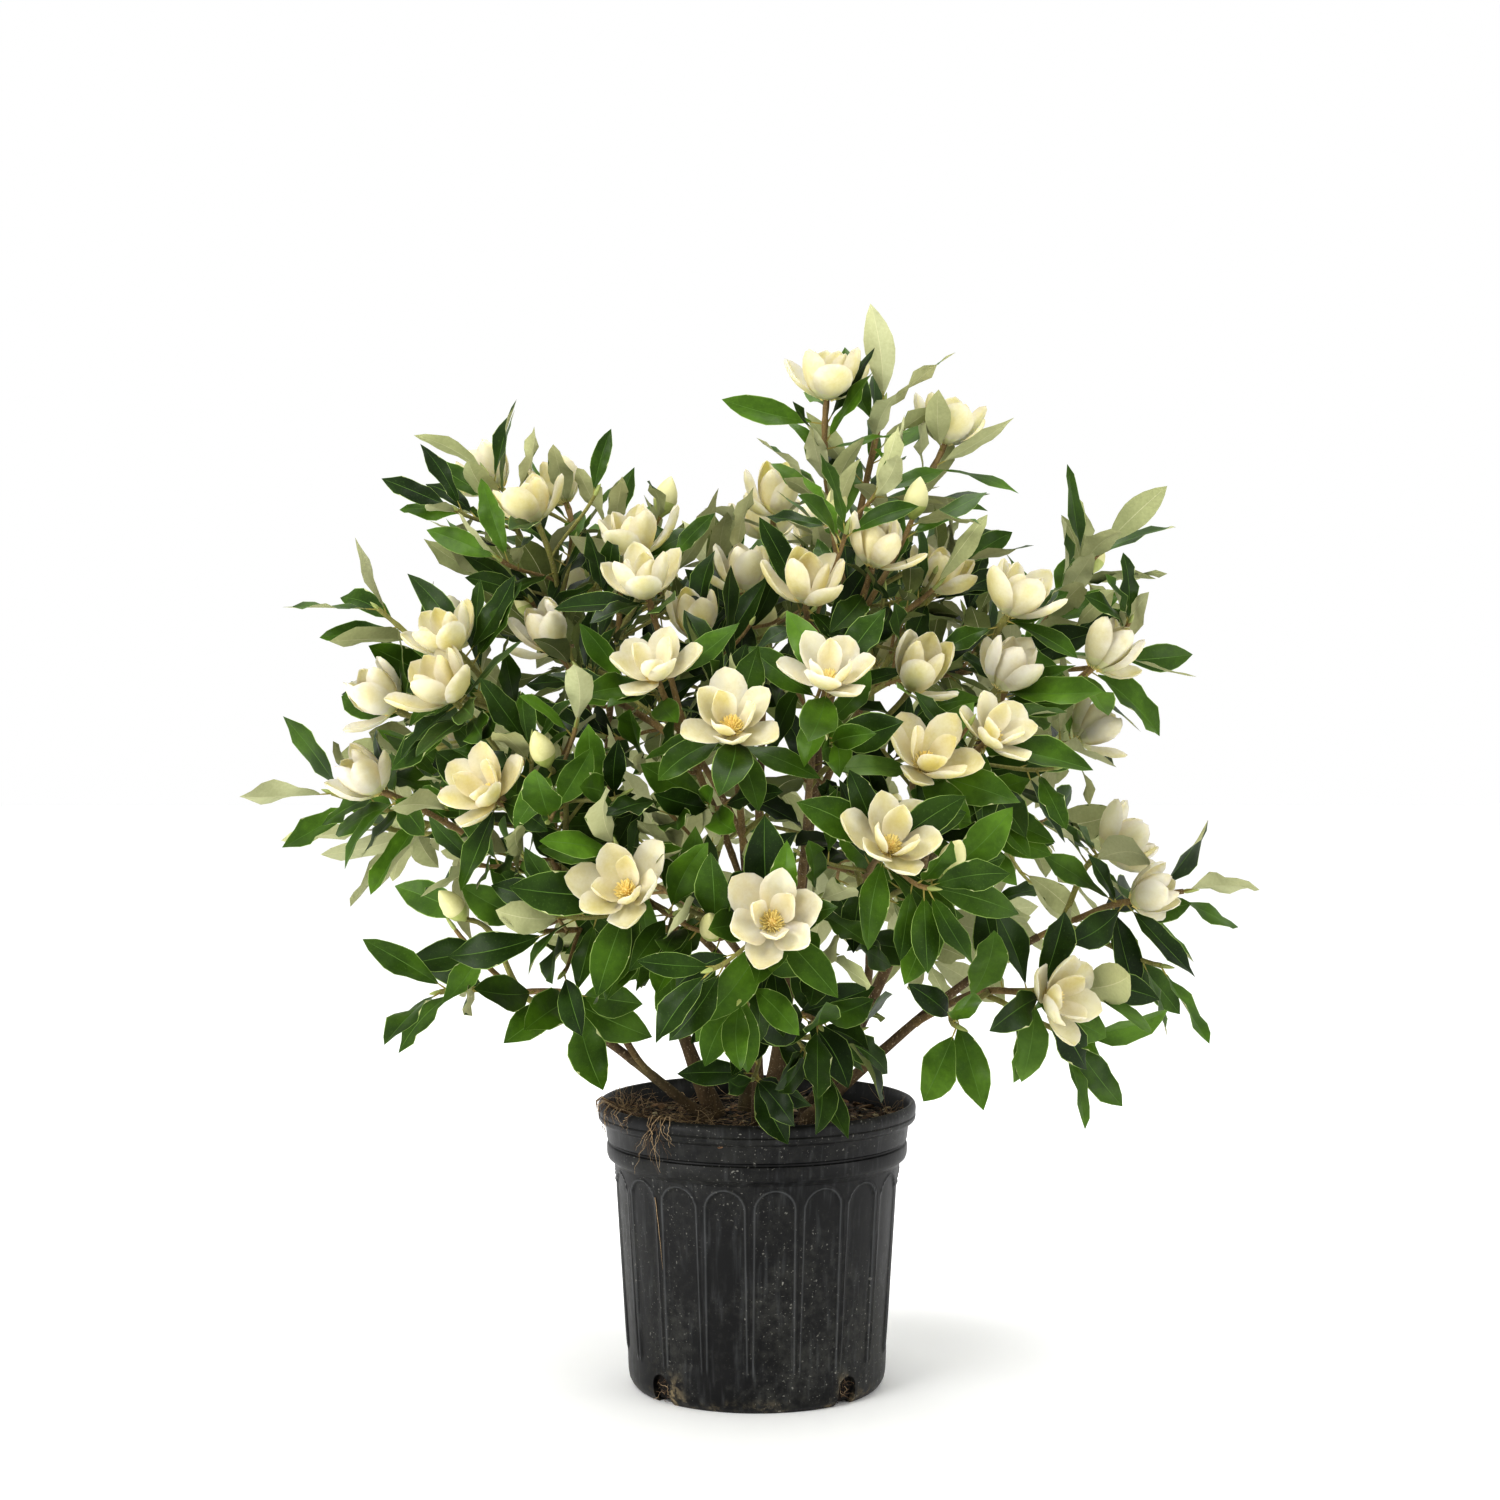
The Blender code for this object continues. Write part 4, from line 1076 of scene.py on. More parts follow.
twigValues = {
    "sides": 6,
    "ringPitch": 0.007,
    "overlap": 0.004,
    "nodeSwell": 0.0005,
    "nodeReach": 0.004,
    "underBloom": 1.25,  # how much thicker a twig ends under a bloom
    "youngShares": (0.25, 0.55),  # of main shoots and of side twigs, that are green
    "budLength": 0.013,
    "budRadius": 0.0022,
    "budShape": [(-0.1, 0.6), (0.2, 1.0), (0.55, 0.8), (0.85, 0.4), (1.0, 0.08)],
    "tones": [("65502f", "9a8252"), ("6f6a38", "9b9a56")],
}


def addTwig(heap, shoot):
    values = twigValues
    start = shoot.first
    if start > 0:
        start -= values["overlap"] / shoot.path.length()
    last = min(shoot.radius, twigRule["endRadius"])
    if shoot.bloom in flowerKinds:
        last = twigRule["endRadius"] * values["underBloom"]
    places, radii = [], []
    for share in spread(start, 1.0, max(4, round(shoot.length / values["ringPitch"]))):
        fromNodes = [abs(share - leaf.share) * shoot.length / values["nodeReach"] for leaf in shoot.leaves]
        swell = min(1.5, sum(max(0.0, 1 - away) for away in fromNodes))
        radius = between((shoot.radius, last), (share - start) / (1 - start))
        places.append(shoot.path.point(share))
        radii.append(radius + values["nodeSwell"] * swell)
    young = chance(shoot.name, "young") < values["youngShares"][shoot.first == 0]
    heap.tube(places, radii, values["sides"], int(young))
    if shoot.bloom == "tuft":
        shape = values["budShape"]
        length = values["budLength"] * (0.7 + 0.6 * chance(shoot.name, "bud"))
        places = [shoot.tip + shoot.tipWay * (length * height) for height, width in shape]
        heap.tube(places, [values["budRadius"] * width for height, width in shape], values["sides"], 2)


def buildTwigs(shoots):
    brown, green = twigValues["tones"]
    materials = [
        finish("twig_brown", barkRecipe, *brown, 1.6),
        finish("twig_green", barkRecipe, *green, 1.6),
        finish("leaf_bud_silky", petalRecipe, "a9b06c", "8d9a55", Roughness=0.55),
    ]
    heap = Heap()
    for some in shoots.values():
        for shoot in some:
            addTwig(heap, shoot)
    heap.piece("twigs", materials, "bark", list(shoots))


# leaves

leafValues = {
    "rows": [  # along a blade, and how wide it is there
        (0.0, 0.06), (0.09, 0.31), (0.20, 0.61), (0.33, 0.86), (0.47, 0.99), (0.61, 0.96), (0.75, 0.76),
        (0.88, 0.42),
    ],
    "upperColumns": [-1, -0.955, -0.5, -0.022, 0.022, 0.5, 0.955, 1],
    "lowerColumns": [-0.5, -0.022, 0.022, 0.5],
    "mainShare": 0.92,  # of the length that a leaf has in the solids
    "stalkShare": 0.13,
    "stalkSunk": 0.04,  # how far the stalk goes on under the blade
    "stalkRadii": (0.00102, 0.00085, 0.000425),
    "thickness": 0.0006,
    "halfWidth": 0.01725,
    "widthSpread": (0.84, 1.12),
    "narrowing": (0.58, 0.74),  # heights between which blades grow narrower
    "highWidth": 0.76,
    "droop": (4, 44),  # degrees from one end to the other
    "droopPower": 1.4,  # keeps most blades nearly straight
    "upShare": 0.12,  # of the blades arch upwards, half as much
    "upArch": -0.5,
    "leastArch": 0.5,
    "sickle": 0.07,
    "twist": 44,
    "twistFrom": 0.3,  # where along the blade it is level
    "roll": (12, 46),  # degrees, to either side
    "lightTurn": (0.92, 0.70),  # heights between which the upper sides turn outwards
    "outTurn": 0.9,  # how much they turn outwards, upwards, and to the front, or at the back to the back
    "upTurn": 0.5,
    "lightRoll": 0.6,  # how much less they roll
    "frontTurn": 0.6,
    "fold": (0.14, 0.52),
    "bow": 0.16,
    "ripple": (0.0008, 0.0040),
    "waves": (1.3, 2.6),
    "waveShift": 2.3,  # from one edge to the other
    "greens": [
        ("1a2e05", "35500c"), ("253c08", "4a6a13"), ("344f10", "5e8220"), ("132405", "2b450c"),
        ("456222", "6f8f3b"),
    ],
    "greenShares": (0.27, 0.56, 0.78, 0.93, 1.0),
    "undersides": [("aeb083", "c8ca9b"), ("b0b288", "c9cba2"), ("9fa376", "bdc190")],
    "parts": {
        "midrib": ("446425", "66843c"),
        "edge": ("6e8843", "90a35e"),
        "underRib": ("c6c69c", "d9d7b2"),
        "stalk": ("8f8a48", "ab9c5c"),
        "innerUnder": ("67713f", "838c55"),  # the undersides deep in the crown, darker as painted shade
    },
    # leaves this near the middle and this low take the darkest greens and a darker underside: painted shade
    # deep in the crown
    "innerReach": 0.22,
    "innerTop": 0.70,
    "innerGreens": (3, 0),
    "bends": (0, 30, -30, 60, -55),  # tried in turn where a blade meets a petal
}


def glossyLeafRecipe(tree, place, dark, light):
    broad = tree.noise(place, 22, 2.0)
    fine = tree.noise(place, 210, 3.0, 0.6)
    veins = tree.noise(place, 620, 2.0)
    tone = tree.mix((broad * 0.9 + fine * 0.25 - 0.1).ramp(0.25, 0.85), dark, light)
    tone = tree.mix(veins.ramp(0.58, 0.75) * 0.12, tone, "6f8f45")
    return {
        "Base Color": tone,
        "Roughness": 0.36 + fine * 0.16,
        "Coat Weight": 0.03 + broad * 0.15,
        "Normal": tree.bump(veins * 0.6 + fine, 0.22, 0.0005),
    }


def mattLeafRecipe(tree, place, dark, light):
    broad = tree.noise(place, 26, 2.0)
    fine = tree.noise(place, 340, 4.0, 0.6)
    tone = tree.mix((broad * 0.7 + fine * 0.5 - 0.1).ramp(0.2, 0.85), dark, light)
    return tree.surface(tone, 0.62 + fine * 0.2, fine, 0.3, 0.0004)


def leafMaterials():
    values = leafValues
    gloss = {"Coat Roughness": 0.25, "Specular IOR Level": 0.12}
    matt = {"Specular IOR Level": 0.2}
    greens = enumerate(values["greens"])
    made = [finish(f"leaf_green_{i}", glossyLeafRecipe, *pair, **gloss) for i, pair in greens]
    others = {f"underside_{i}": pair for i, pair in enumerate(values["undersides"])}
    others.update(values["parts"])
    return made + [finish("leaf_" + part, mattLeafRecipe, *pair, **matt) for part, pair in others.items()]


def bladeFaces():
    # the faces of one leaf blade and, for each, what it is: green, underside, midrib, edge or underRib
    values = leafValues
    columns = len(values["upperColumns"])
    each = columns + len(values["lowerColumns"])
    tip = len(values["rows"]) * each
    upperKinds = ["edge", "green", "green", "midrib", "green", "green", "edge"]
    lowerLine = [0, *range(columns, each), columns - 1]
    lowerKinds = ["underside", "underside", "underRib", "underside", "underside"]
    faces, kinds = [], []
    for low in range(0, tip, each):
        last = low + each == tip
        for column, kind in enumerate(upperKinds):
            a, b = low + column, low + column + 1
            faces.append((a, b, tip) if last else (a, b, b + each, a + each))
            kinds.append(kind)
        for a, b, kind in zip(lowerLine, lowerLine[1:], lowerKinds):
            a, b = low + a, low + b
            faces.append((b, a, tip) if last else (a, a + each, b + each, b))
            kinds.append(kind)
    faces.append((*lowerLine[1:-1], *range(columns - 1, -1, -1)))
    kinds.append("underside")
    return faces, kinds


def bladeCorners(leaf, moreDroop=0):
    # the corners of one leaf: it arches along its length, folds along its midrib, twists and ripples
    values = leafValues

    def own(word):  # this leaf's chance
        return chance(leaf.shoot.name, leaf.number, word)

    def dealt(word):  # this leaf's value out of a range
        return between(values[word], own(word))

    root = leaf.shoot.path.point(leaf.share)
    finer = "finer" in leaf.shoot.name or leaf.number >= 100
    tip = leaf.root + leaf.along * leaf.length * (1.0 if finer else values["mainShare"])
    along, length = (tip - root).normalized(), (tip - root).length
    toLight = progress(values["lightTurn"], tip.z)
    toFront = values["frontTurn"] if tip.y < leafRule["midCrown"] else -values["frontTurn"]
    light = outward(tip) * values["outTurn"] + up * values["upTurn"] - Vector((0, toFront, 0))
    across = along.cross(leaf.normal + light * toLight).normalized()
    rollSide = 1 if own("rollSide") < 0.5 else -1
    roll = math.radians(dealt("roll")) * rollSide * (1 - values["lightRoll"] * toLight)
    across = swing(across, across.cross(along), roll)
    normal = across.cross(along).normalized()
    sickle = length * values["sickle"] * (own("sickle") * 2 - 1)
    arch = math.radians(between(values["droop"], own("droop") ** values["droopPower"]))
    if own("up") < values["upShare"]:
        arch *= values["upArch"]
    arch += math.radians(moreDroop + values["leastArch"])
    twist = math.radians(values["twist"]) * (own("twist") * 2 - 1)
    fold, ripple, waves, phase = dealt("fold"), dealt("ripple"), dealt("waves"), math.tau * own("phase")
    halfWidth = values["halfWidth"] * length / leafRule["length"]
    halfWidth *= between(values["widthSpread"], own("width"))
    halfWidth *= between((1.0, values["highWidth"]), progress(values["narrowing"], tip.z))

    def middle(share):  # the place on the midrib, and the ways to the side and up
        turn = arch / 2 - arch * share
        ahead = (math.sin(arch / 2) - math.sin(turn)) / arch
        lift = (math.cos(turn) - math.cos(arch / 2)) / arch
        place = root + (along * ahead + normal * lift) * length + across * (4 * sickle * share * (1 - share))
        roll, rise = twist * (share - values["twistFrom"]), swing(normal, along, -turn)
        return place, swing(across, rise, roll), swing(rise, across, -roll)

    line = [(v, 0.0) for v in values["upperColumns"]]
    line += [(v, values["thickness"]) for v in values["lowerColumns"]]
    corners, stalk = [], []
    for share, width in values["rows"]:
        place, side, rise = middle(between((values["stalkShare"], 1), share))
        reach = halfWidth * width
        for v, depth in line:
            height = reach * (fold * abs(v) - values["bow"] * v * v)
            wave = math.sin(phase + math.tau * waves * share + (values["waveShift"] if v < 0 else 0.0))
            height += ripple * abs(v) * wave * min(1.0, width * 1.3)
            corners.append(place + side * (v * reach) + rise * (height - depth))
    corners.append(middle(1.0)[0])
    stalkEnd = values["stalkShare"] + values["stalkSunk"]
    for share in (0.0, stalkEnd * 0.5, stalkEnd):
        place, side, rise = middle(share)
        stalk.append(place - rise * (values["thickness"] * 0.5))
    return corners, stalk


def freeBlade(leaf, faces, petals):
    # the corners of the blade, bent so that it passes as few petals as may be
    best = None
    for bend in leafValues["bends"]:
        corners, stalk = bladeCorners(leaf, bend)
        met = len(BVHTree.FromPolygons(corners, faces).overlap(petals))
        if best is None or met < best[0]:
            best = (met, corners, stalk)
        if met == 0:
            break
    return best[1:]


def sectorOf(name):
    if "back" in name:
        return "leaves_at_back"
    if any(word in name for word in ("leader", "top", "inner", "centre")):
        return "leaves_at_top"
    return "leaves_at_left" if "left" in name else "leaves_at_right"


def buildLeaves(crown, petals):
    values = leafValues
    materials = leafMaterials()
    faces, kinds = bladeFaces()
    firstUnder, unders = len(values["greens"]), len(values["undersides"])
    numbers = {part: firstUnder + unders + i for i, part in enumerate(values["parts"])}
    sectors = {}
    for name in crown.shoots:
        sectors.setdefault(sectorOf(name), []).append(name)
    for sector, names in sectors.items():
        heap = Heap()
        for leaf in (leaf for name in names for leaf in crown.leaves[name]):
            words = (leaf.shoot.name, leaf.number)
            deal = chance(leaf.shoot.name, "green") * 0.6 + chance(*words, "green") * 0.4
            green = next(i for i, share in enumerate(values["greenShares"]) if deal <= share)
            under = firstUnder + int(chance(*words, "under") * unders)
            x, y, z = leaf.root
            # painted shade deep in the crown: the darkest greens and the darker underside
            if math.hypot(x, y) < values["innerReach"] and z < values["innerTop"]:
                green, under = values["innerGreens"][deal >= 0.5], numbers["innerUnder"]
            own = {**numbers, "green": green, "underside": under}
            corners, stalk = freeBlade(leaf, faces, petals)
            heap.add(corners, faces, [own[kind] for kind in kinds])
            heap.tube(stalk, values["stalkRadii"], 4, numbers["stalk"])
        heap.piece(sector, materials, "foliage", names, 50)
    crown.report("leaves:")


# blooms

petalValues = {
    "rows": [  # along a petal, and how wide it is there
        (0.0, 0.30), (0.13, 0.52), (0.29, 0.80), (0.47, 0.96), (0.65, 1.0), (0.82, 0.85), (0.94, 0.50),
        (1.0, 0.0),
    ],
    "columns": [-1, -0.5, 0, 0.5, 1],
    "steps": 6,  # from one row to the next
    "thickness": 0.0009,
    "tipThickness": 0.0006,
    "footRadius": 0.0028,
    "footSpread": 12,  # degrees, among the petals of a ring
    "tipSpread": 16,
    "turnSpread": 0.12,
    "skew": 0.12,
    "curl": 0.85,
    "ripple": 0.0008,
    "sizes": (0.92, 0.14),  # the least, and how much larger a bloom may be
    "lift": 0.38,  # how far a bloom turns up from its shoot
    "closedHeart": 0.9,  # how large the stamens of a bloom that isn't open are
    # rings of petals: how many, first turn, length, width, opening at the foot and at the tip, cupping
    "open": [
        (3, 0, 0.046, 0.033, 88, 40, 0.80),
        (3, 61, 0.044, 0.033, 74, 22, 0.90),
        (3, 28, 0.036, 0.024, 56, 4, 1.0),
    ],
    "cup": [
        (3, 0, 0.052, 0.035, 88, 14, 0.85),
        (3, 60, 0.050, 0.034, 72, -4, 1.0),
        (3, 30, 0.043, 0.029, 56, -16, 1.1),
    ],
    "half": [
        (3, 0, 0.050, 0.034, 74, -14, 1.05),
        (3, 60, 0.048, 0.032, 60, -28, 1.15),
        (1, 20, 0.046, 0.027, 96, 30, 0.8),
    ],
    "heart": [(0.0, 0.0034), (0.002, 0.0042), (0.005, 0.0036), (0.009, 0.0022), (0.011, 0.0004)],
    "tones": [("dcd5b9", "cec290"), ("dfd9c2", "d3c7a0"), ("dbd2b1", "ccbe86")],
    # the inside foot of each petal: a yellower base, partly painted shade by the stamens
    "footTone": ("e0d29a", "cbb672"),
    "flush": [("d3d596", "c2c67c"), ("dddbae", "cfcc92")],  # on the outsides of closed petals, from the foot
    "heartTone": ("ecd08a", "d8b464"),
}

budValues = {
    "sides": 18,
    "rows": 10,
    "radius": 0.0098,
    "length": 0.034,
    "tip": 0.0345,
    "sunk": 0.003,
    "lift": 0.9,
    "sizes": (0.92, 0.16),
    "greenRows": 3,
    "tones": {"bud_cream": ("d5d19f", "c4c189"), "bud_green": ("b9bf78", "9aa658")},
}


def petalRecipe(tree, place, light, dark):
    broad = tree.noise(place, 40, 2.0)
    fine = tree.noise(place, 420, 3.0, 0.55)
    tone = tree.mix((broad + fine * 0.3 - 0.15).ramp(0.3, 0.8), light, dark)
    return tree.surface(tone, 0.42 + fine * 0.18, fine, 0.14, 0.0004)


def petalFaces():
    # inner and outer faces that share the rim, and for each whether it is inside and its row
    columns = len(petalValues["columns"])
    rows, each = len(petalValues["rows"]) - 1, 2 * columns - 2
    tip = rows * each
    innerLine = list(range(columns))
    outerLine = [0, *range(columns, each), columns - 1]
    faces, spots = [], []
    for row in range(rows):
        low, high = row * each, (row + 1) * each
        for line, flip in ((innerLine, False), (outerLine, True)):
            for a, b in zip(line, line[1:]):
                a, b = (low + b, low + a) if flip else (low + a, low + b)
                faces.append((a, b, tip) if high == tip else (a, b, b + each, a + each))
                spots.append((not flip, row))
    faces.append((*outerLine[1:-1], *innerLine[::-1]))
    spots.append((True, 0))
    return faces, spots


def petalFinishes(spots, tone, closed):
    # the ivory tone, with a golden foot inside, partly the petal's yellower base and partly painted shade by
    # the stamens, and, on closed blooms, a green flush at the outer foot
    finishes = []
    for inside, row in spots:
        golden, flushed = inside and row == 0, not inside and closed and row < 2
        finishes.append(3 if golden else 5 + row if flushed else tone)
    return finishes


def addPetal(heap, faces, finishes, place, axis, turn, size, spec, name):
    # one petal bends up from its foot, is cupped across, and closes in a rounded tip
    length, width, footTurn, tipTurn, cupping = spec
    values = petalValues
    radial = swing(*around(axis), turn)
    across = axis.cross(radial).normalized()
    footTurn = math.radians(footTurn + values["footSpread"] * (chance(name, "foot") - 0.5))
    tipTurn = math.radians(tipTurn + values["tipSpread"] * (chance(name, "tip") - 0.5))
    length *= size * (0.93 + 0.14 * chance(name, "length"))
    width *= size * (0.92 + 0.16 * chance(name, "width"))
    skew = values["skew"] * (chance(name, "skew") - 0.5)
    wave = math.tau * chance(name, "wave")
    line = [(v, 0.0) for v in values["columns"]]
    line += [(v, values["thickness"]) for v in values["columns"][1:-1]]
    spot, last, steps = place + radial * values["footRadius"] * size, 0.0, values["steps"]
    corners = []
    for share, rowWidth in values["rows"]:
        for step in range(steps):
            middle = last + (share - last) * (step + 0.5) / steps
            opening = footTurn + (tipTurn - footTurn) * middle ** values["curl"]
            spot = spot + swing(axis, radial, opening) * (length * (share - last) / steps)
        last = share
        opening = footTurn + (tipTurn - footTurn) * share ** values["curl"]
        inward = axis * math.sin(opening) - radial * math.cos(opening)
        reach = width / 2 * rowWidth
        half = cupping * (0.75 + 0.35 * share)
        for v, depth in line if reach else []:
            bend = v * half
            rim = values["ripple"] * math.sin(wave + 7 * share + (1.7 if v < 0 else 0)) * abs(v) * share
            rise = (1 - math.cos(bend)) / half * reach + rim - depth * (1 - v * v) ** 0.5
            aside = math.sin(bend) / half * reach + skew * reach * share
            corners.append(spot + across * aside + inward * rise)
    heap.add([*corners, spot + inward * values["tipThickness"]], faces, finishes)


def addFlower(heap, faces, spots, place, axis, size, shoot):
    # its rings of petals, and the cone that the stamens stand on
    name, kind = shoot.name, shoot.bloom
    spin = math.tau * chance(name, "spin")
    finishes = petalFinishes(spots, int(3 * chance(name, "tone") ** 1.5), kind != "open")
    number = 0
    for count, firstTurn, *spec in petalValues[kind]:
        for i in range(count):
            share = i + petalValues["turnSpread"] * chance(name, number, "turn")
            turn = spin + math.radians(firstTurn) + math.tau * share / count
            addPetal(heap, faces, finishes, place, axis, turn, size, spec, f"{name}-{number}")
            number += 1
    profile = petalValues["heart"]
    places = [place + axis * (height * size) for height, radius in profile]
    heap.tube(places, [radius * size for height, radius in profile], 8, 4)


def addBud(heap, place, axis, name, size):
    # petals wrapped round each other leave three curved steps in the bud's side
    values = budValues
    sides, rows = values["sides"], values["rows"]
    side, other = around(axis)
    spin = math.tau * chance(name, "spin")
    corners = [place - axis * values["sunk"]]
    for row in range(rows):
        share = (row + 0.5) / rows
        radius = values["radius"] * math.sin(math.pi * share**0.84) ** 0.72 * size
        for column, turn in enumerate(turns(sides)):
            step = (3 * column / sides + 0.7 * share) % 1.0
            offset = swing(side, other, turn + spin) * (radius * (0.94 + 0.10 * step))
            corners.append(place + axis * (values["length"] * share * size) + offset)
    corners.append(place + axis * values["tip"] * size)
    faces, finishes = [], []
    top = len(corners) - 1
    for column in range(sides):
        line = [1 + column + row * sides for row in range(rows)]
        nextLine = [1 + (column + 1) % sides + row * sides for row in range(rows)]
        faces.append((0, nextLine[0], line[0]))
        faces += zip(line, nextLine, nextLine[1:], line[1:])
        faces.append((line[-1], nextLine[-1], top))
        finishes += [int(row <= values["greenRows"]) for row in range(rows + 1)]
    heap.add(corners, faces, finishes)


stamenValues = {
    "density": 760000.0,
    "domeRadius": 0.0046,
    "domeStretch": 1.5,
    "length": 0.0062,
    "thickness": 0.00050,
    "upward": 0.8,
    "seed": 7,
    "tones": ("fdf1b4", "f3da80"),
}


def stamenTree():
    # a dome of short stamens, set on every bloom and made real
    labels = ("Density", "Dome Radius", "Dome Stretch", "Length", "Thickness", "Upward", "Seed")
    tree, given = startGroup("stamensOnBlooms", *labels)
    radius, thickness = given["Dome Radius"], given["Thickness"]
    dome = tree.add("GeometryNodeMeshIcoSphere", {"Radius": radius, "Subdivisions": 3})
    stretched = tree.joined(1.0, 1.0, given["Dome Stretch"])
    dome = tree.add("GeometryNodeTransform", {"Geometry": dome, "Scale": stretched})
    height = tree.parts(tree.add("GeometryNodeInputPosition"))[2]
    spots = tree.add("GeometryNodeDistributePointsOnFaces", {
        "Mesh": dome,
        "Selection": height.work("GREATER_THAN", radius * -0.2),
        "Density": given["Density"],
        "Seed": given["Seed"],
    })
    way = tree.vector("ADD", spots["Normal"], tree.joined(0.0, 0.0, given["Upward"]))
    turn = tree.add("FunctionNodeAlignRotationToVector", {"Vector": way}, axis="Z")
    stamen = tree.add("GeometryNodeMeshCone", {
        "Vertices": 4,
        "Side Segments": 2,
        "Radius Top": thickness * 0.75,
        "Radius Bottom": thickness,
        "Depth": given["Length"],
    }, fill_type="TRIANGLE_FAN")
    values = {2: 0.75, 3: 1.2, "Seed": given["Seed"]}
    sizes = tree.add("FunctionNodeRandomValue", values, 1, data_type="FLOAT")
    tuft = tree.scattered(spots, stamen, turn, sizes)
    tuft = tree.add("GeometryNodeRealizeInstances", {"Geometry": tuft})
    axis = tree.add("GeometryNodeInputNamedAttribute", {"Name": "axis"}, data_type="FLOAT_VECTOR")
    size = tree.add("GeometryNodeInputNamedAttribute", {"Name": "size"}, data_type="FLOAT")
    facing = tree.add("FunctionNodeAlignRotationToVector", {"Vector": axis}, axis="Z")
    return endGroup(tree, given, tree.scattered(given, tuft, facing, size))


def sizeOf(values, name):
    least, more = values["sizes"]
    return least + more * chance(name, "size")


def buildBlooms(shoots):
    values = petalValues
    glow = {"Subsurface Weight": 0.5, "Subsurface Scale": 0.006, "Subsurface Radius": (1.0, 0.96, 0.5)}
    ivory, flush = enumerate(values["tones"]), enumerate(values["flush"])
    materials = [finish(f"petal_ivory_{i}", petalRecipe, *pair, **glow) for i, pair in ivory]
    # the golden inner foot, partly painted shade
    materials.append(finish("petal_foot", petalRecipe, *values["footTone"]))
    materials.append(finish("bloom_heart", petalRecipe, *values["heartTone"]))
    materials += [finish(f"petal_flush_{i}", petalRecipe, *pair, **glow) for i, pair in flush]
    budMaterials = [finish(name, petalRecipe, *pair) for name, pair in budValues["tones"].items()]
    faces, spots = petalFaces()
    front, back, buds = Heap(), Heap(), Heap()
    nodes = {heap: set() for heap in (front, back, buds)}
    places, axes, sizes = [], [], []
    for massName, some in shoots.items():
        for shoot in some:
            if shoot.bloom == "tuft":
                continue
            place, way, name = shoot.tip, shoot.tipWay, shoot.name
            heap = back if "back" in massName else front
            if shoot.bloom == "bud":
                heap = buds
                axis = (way + up * budValues["lift"]).normalized()
                addBud(heap, place, axis, name, sizeOf(budValues, name))
            else:
                axis = (way + up * values["lift"] * (0.6 + 0.8 * chance(name, "lift"))).normalized()
                size = sizeOf(values, name)
                addFlower(heap, faces, spots, place, axis, size, shoot)
                places.append(place)
                axes += list(axis)
                sizes.append(size if shoot.bloom == "open" else size * values["closedHeart"])
            nodes[heap].add(massName)
    petals = treeOf([(heap.corners(), heap.faces) for heap in (front, back)])
    front.piece("blooms_at_front", materials, "foliage", sorted(nodes[front]), 75)
    back.piece("blooms_at_back", materials, "foliage", sorted(nodes[back]), 75)
    buds.piece("flower_buds", budMaterials, "foliage", sorted(nodes[buds]), 35)
    print(f"{len(places)} blooms")

    feet = meshOf("bloom_feet", places)
    feet.attributes.new("axis", "FLOAT_VECTOR", "POINT").data.foreach_set("vector", axes)
    feet.attributes.new("size", "FLOAT", "POINT").data.foreach_set("value", sizes)
    gold = finish("stamen_gold", petalRecipe, *stamenValues["tones"])
    made = grown("bloom_feet", feet, stamenTree(), gold, **stamenValues)
    addPiece("stamens", made, [], sorted(nodes[front] | nodes[back]), 40)
    return petals


# pot


def bodyRadius(height):
    shape = potShape
    share = (height - shape["bodyLow"]) / (shape["collarLow"] - shape["bodyLow"])
    return between((shape["bodyLowRadius"], shape["bodyTopRadius"]), share)


def potProfile():
    # radius, whether the flutes press in, and height, from the middle of the underside round to the inside
    shape = potShape
    lip, collar, low, top = shape["lipRadius"], shape["collarRadius"], shape["collarLow"], shape["height"]
    wall, bodyLow, bodyLowRadius = shape["wall"], shape["bodyLow"], shape["bodyLowRadius"]
    inside = collar - wall - 0.0004

    def near(radius, height, *steps):
        return [(radius + out, height + rise) for out, rise in steps]

    foot = [
        (0.00001, 0), (0.05, 0), (0.095, 0), (0.1068, 0), (0.1085, 0.0012), (0.1108, 0.004), (0.1128, 0.008),
        (0.1138, 0.014), (0.1142, 0.022), (bodyLowRadius, 0.030),
    ]
    heights = spread(0.0325, 0.1745, 30) + spread(0.177, 0.1965, 14)
    body = [(bodyRadius(height), height) for height in heights]
    rim = [
        (bodyRadius(0.1985), 0.1985),
        *near(0, low, (0.1264, 0.0004), (0.1290, 0.0012), (0.1312, 0.0030)),
        *near(collar, low, (-0.0003, 0.006), (0, 0.009), (0, 0.0135), (-0.0004, 0.0152), (-0.0019, 0.0162),
              (-0.0020, 0.0176), (-0.0006, 0.0188), (0, 0.021)),
        *near(collar, top, (0.0012, -0.0200), (0.0018, -0.0186), (0.0040, -0.0174)),
        *near(lip, top, (-0.0016, -0.0162), (-0.0005, -0.0145), (-0.0002, -0.0118), (-0.0009, -0.0106),
              (-0.0002, -0.0094), (0, -0.0050), (-0.0006, -0.0022), (-0.0018, -0.0006), (-0.0030, 0),
              (-0.0046, -0.0004), (-0.0058, -0.0018), (-0.0066, -0.006)),
        *near(inside, top, (0.0012, -0.014), (0, -0.025)),
        (inside - 0.0002, low + 0.002),
        (bodyRadius(low) - shape["bodyWall"], low - 0.006),
        (bodyLowRadius - shape["bodyWall"], bodyLow),
        (shape["footRadius"] - wall, wall),
        (0.05, wall),
        (0.00001, wall),
    ]
    parts = ((foot, 0), (body, 1), (rim, 0))
    return [(radius, fluted, height) for rows, fluted in parts for radius, height in rows]


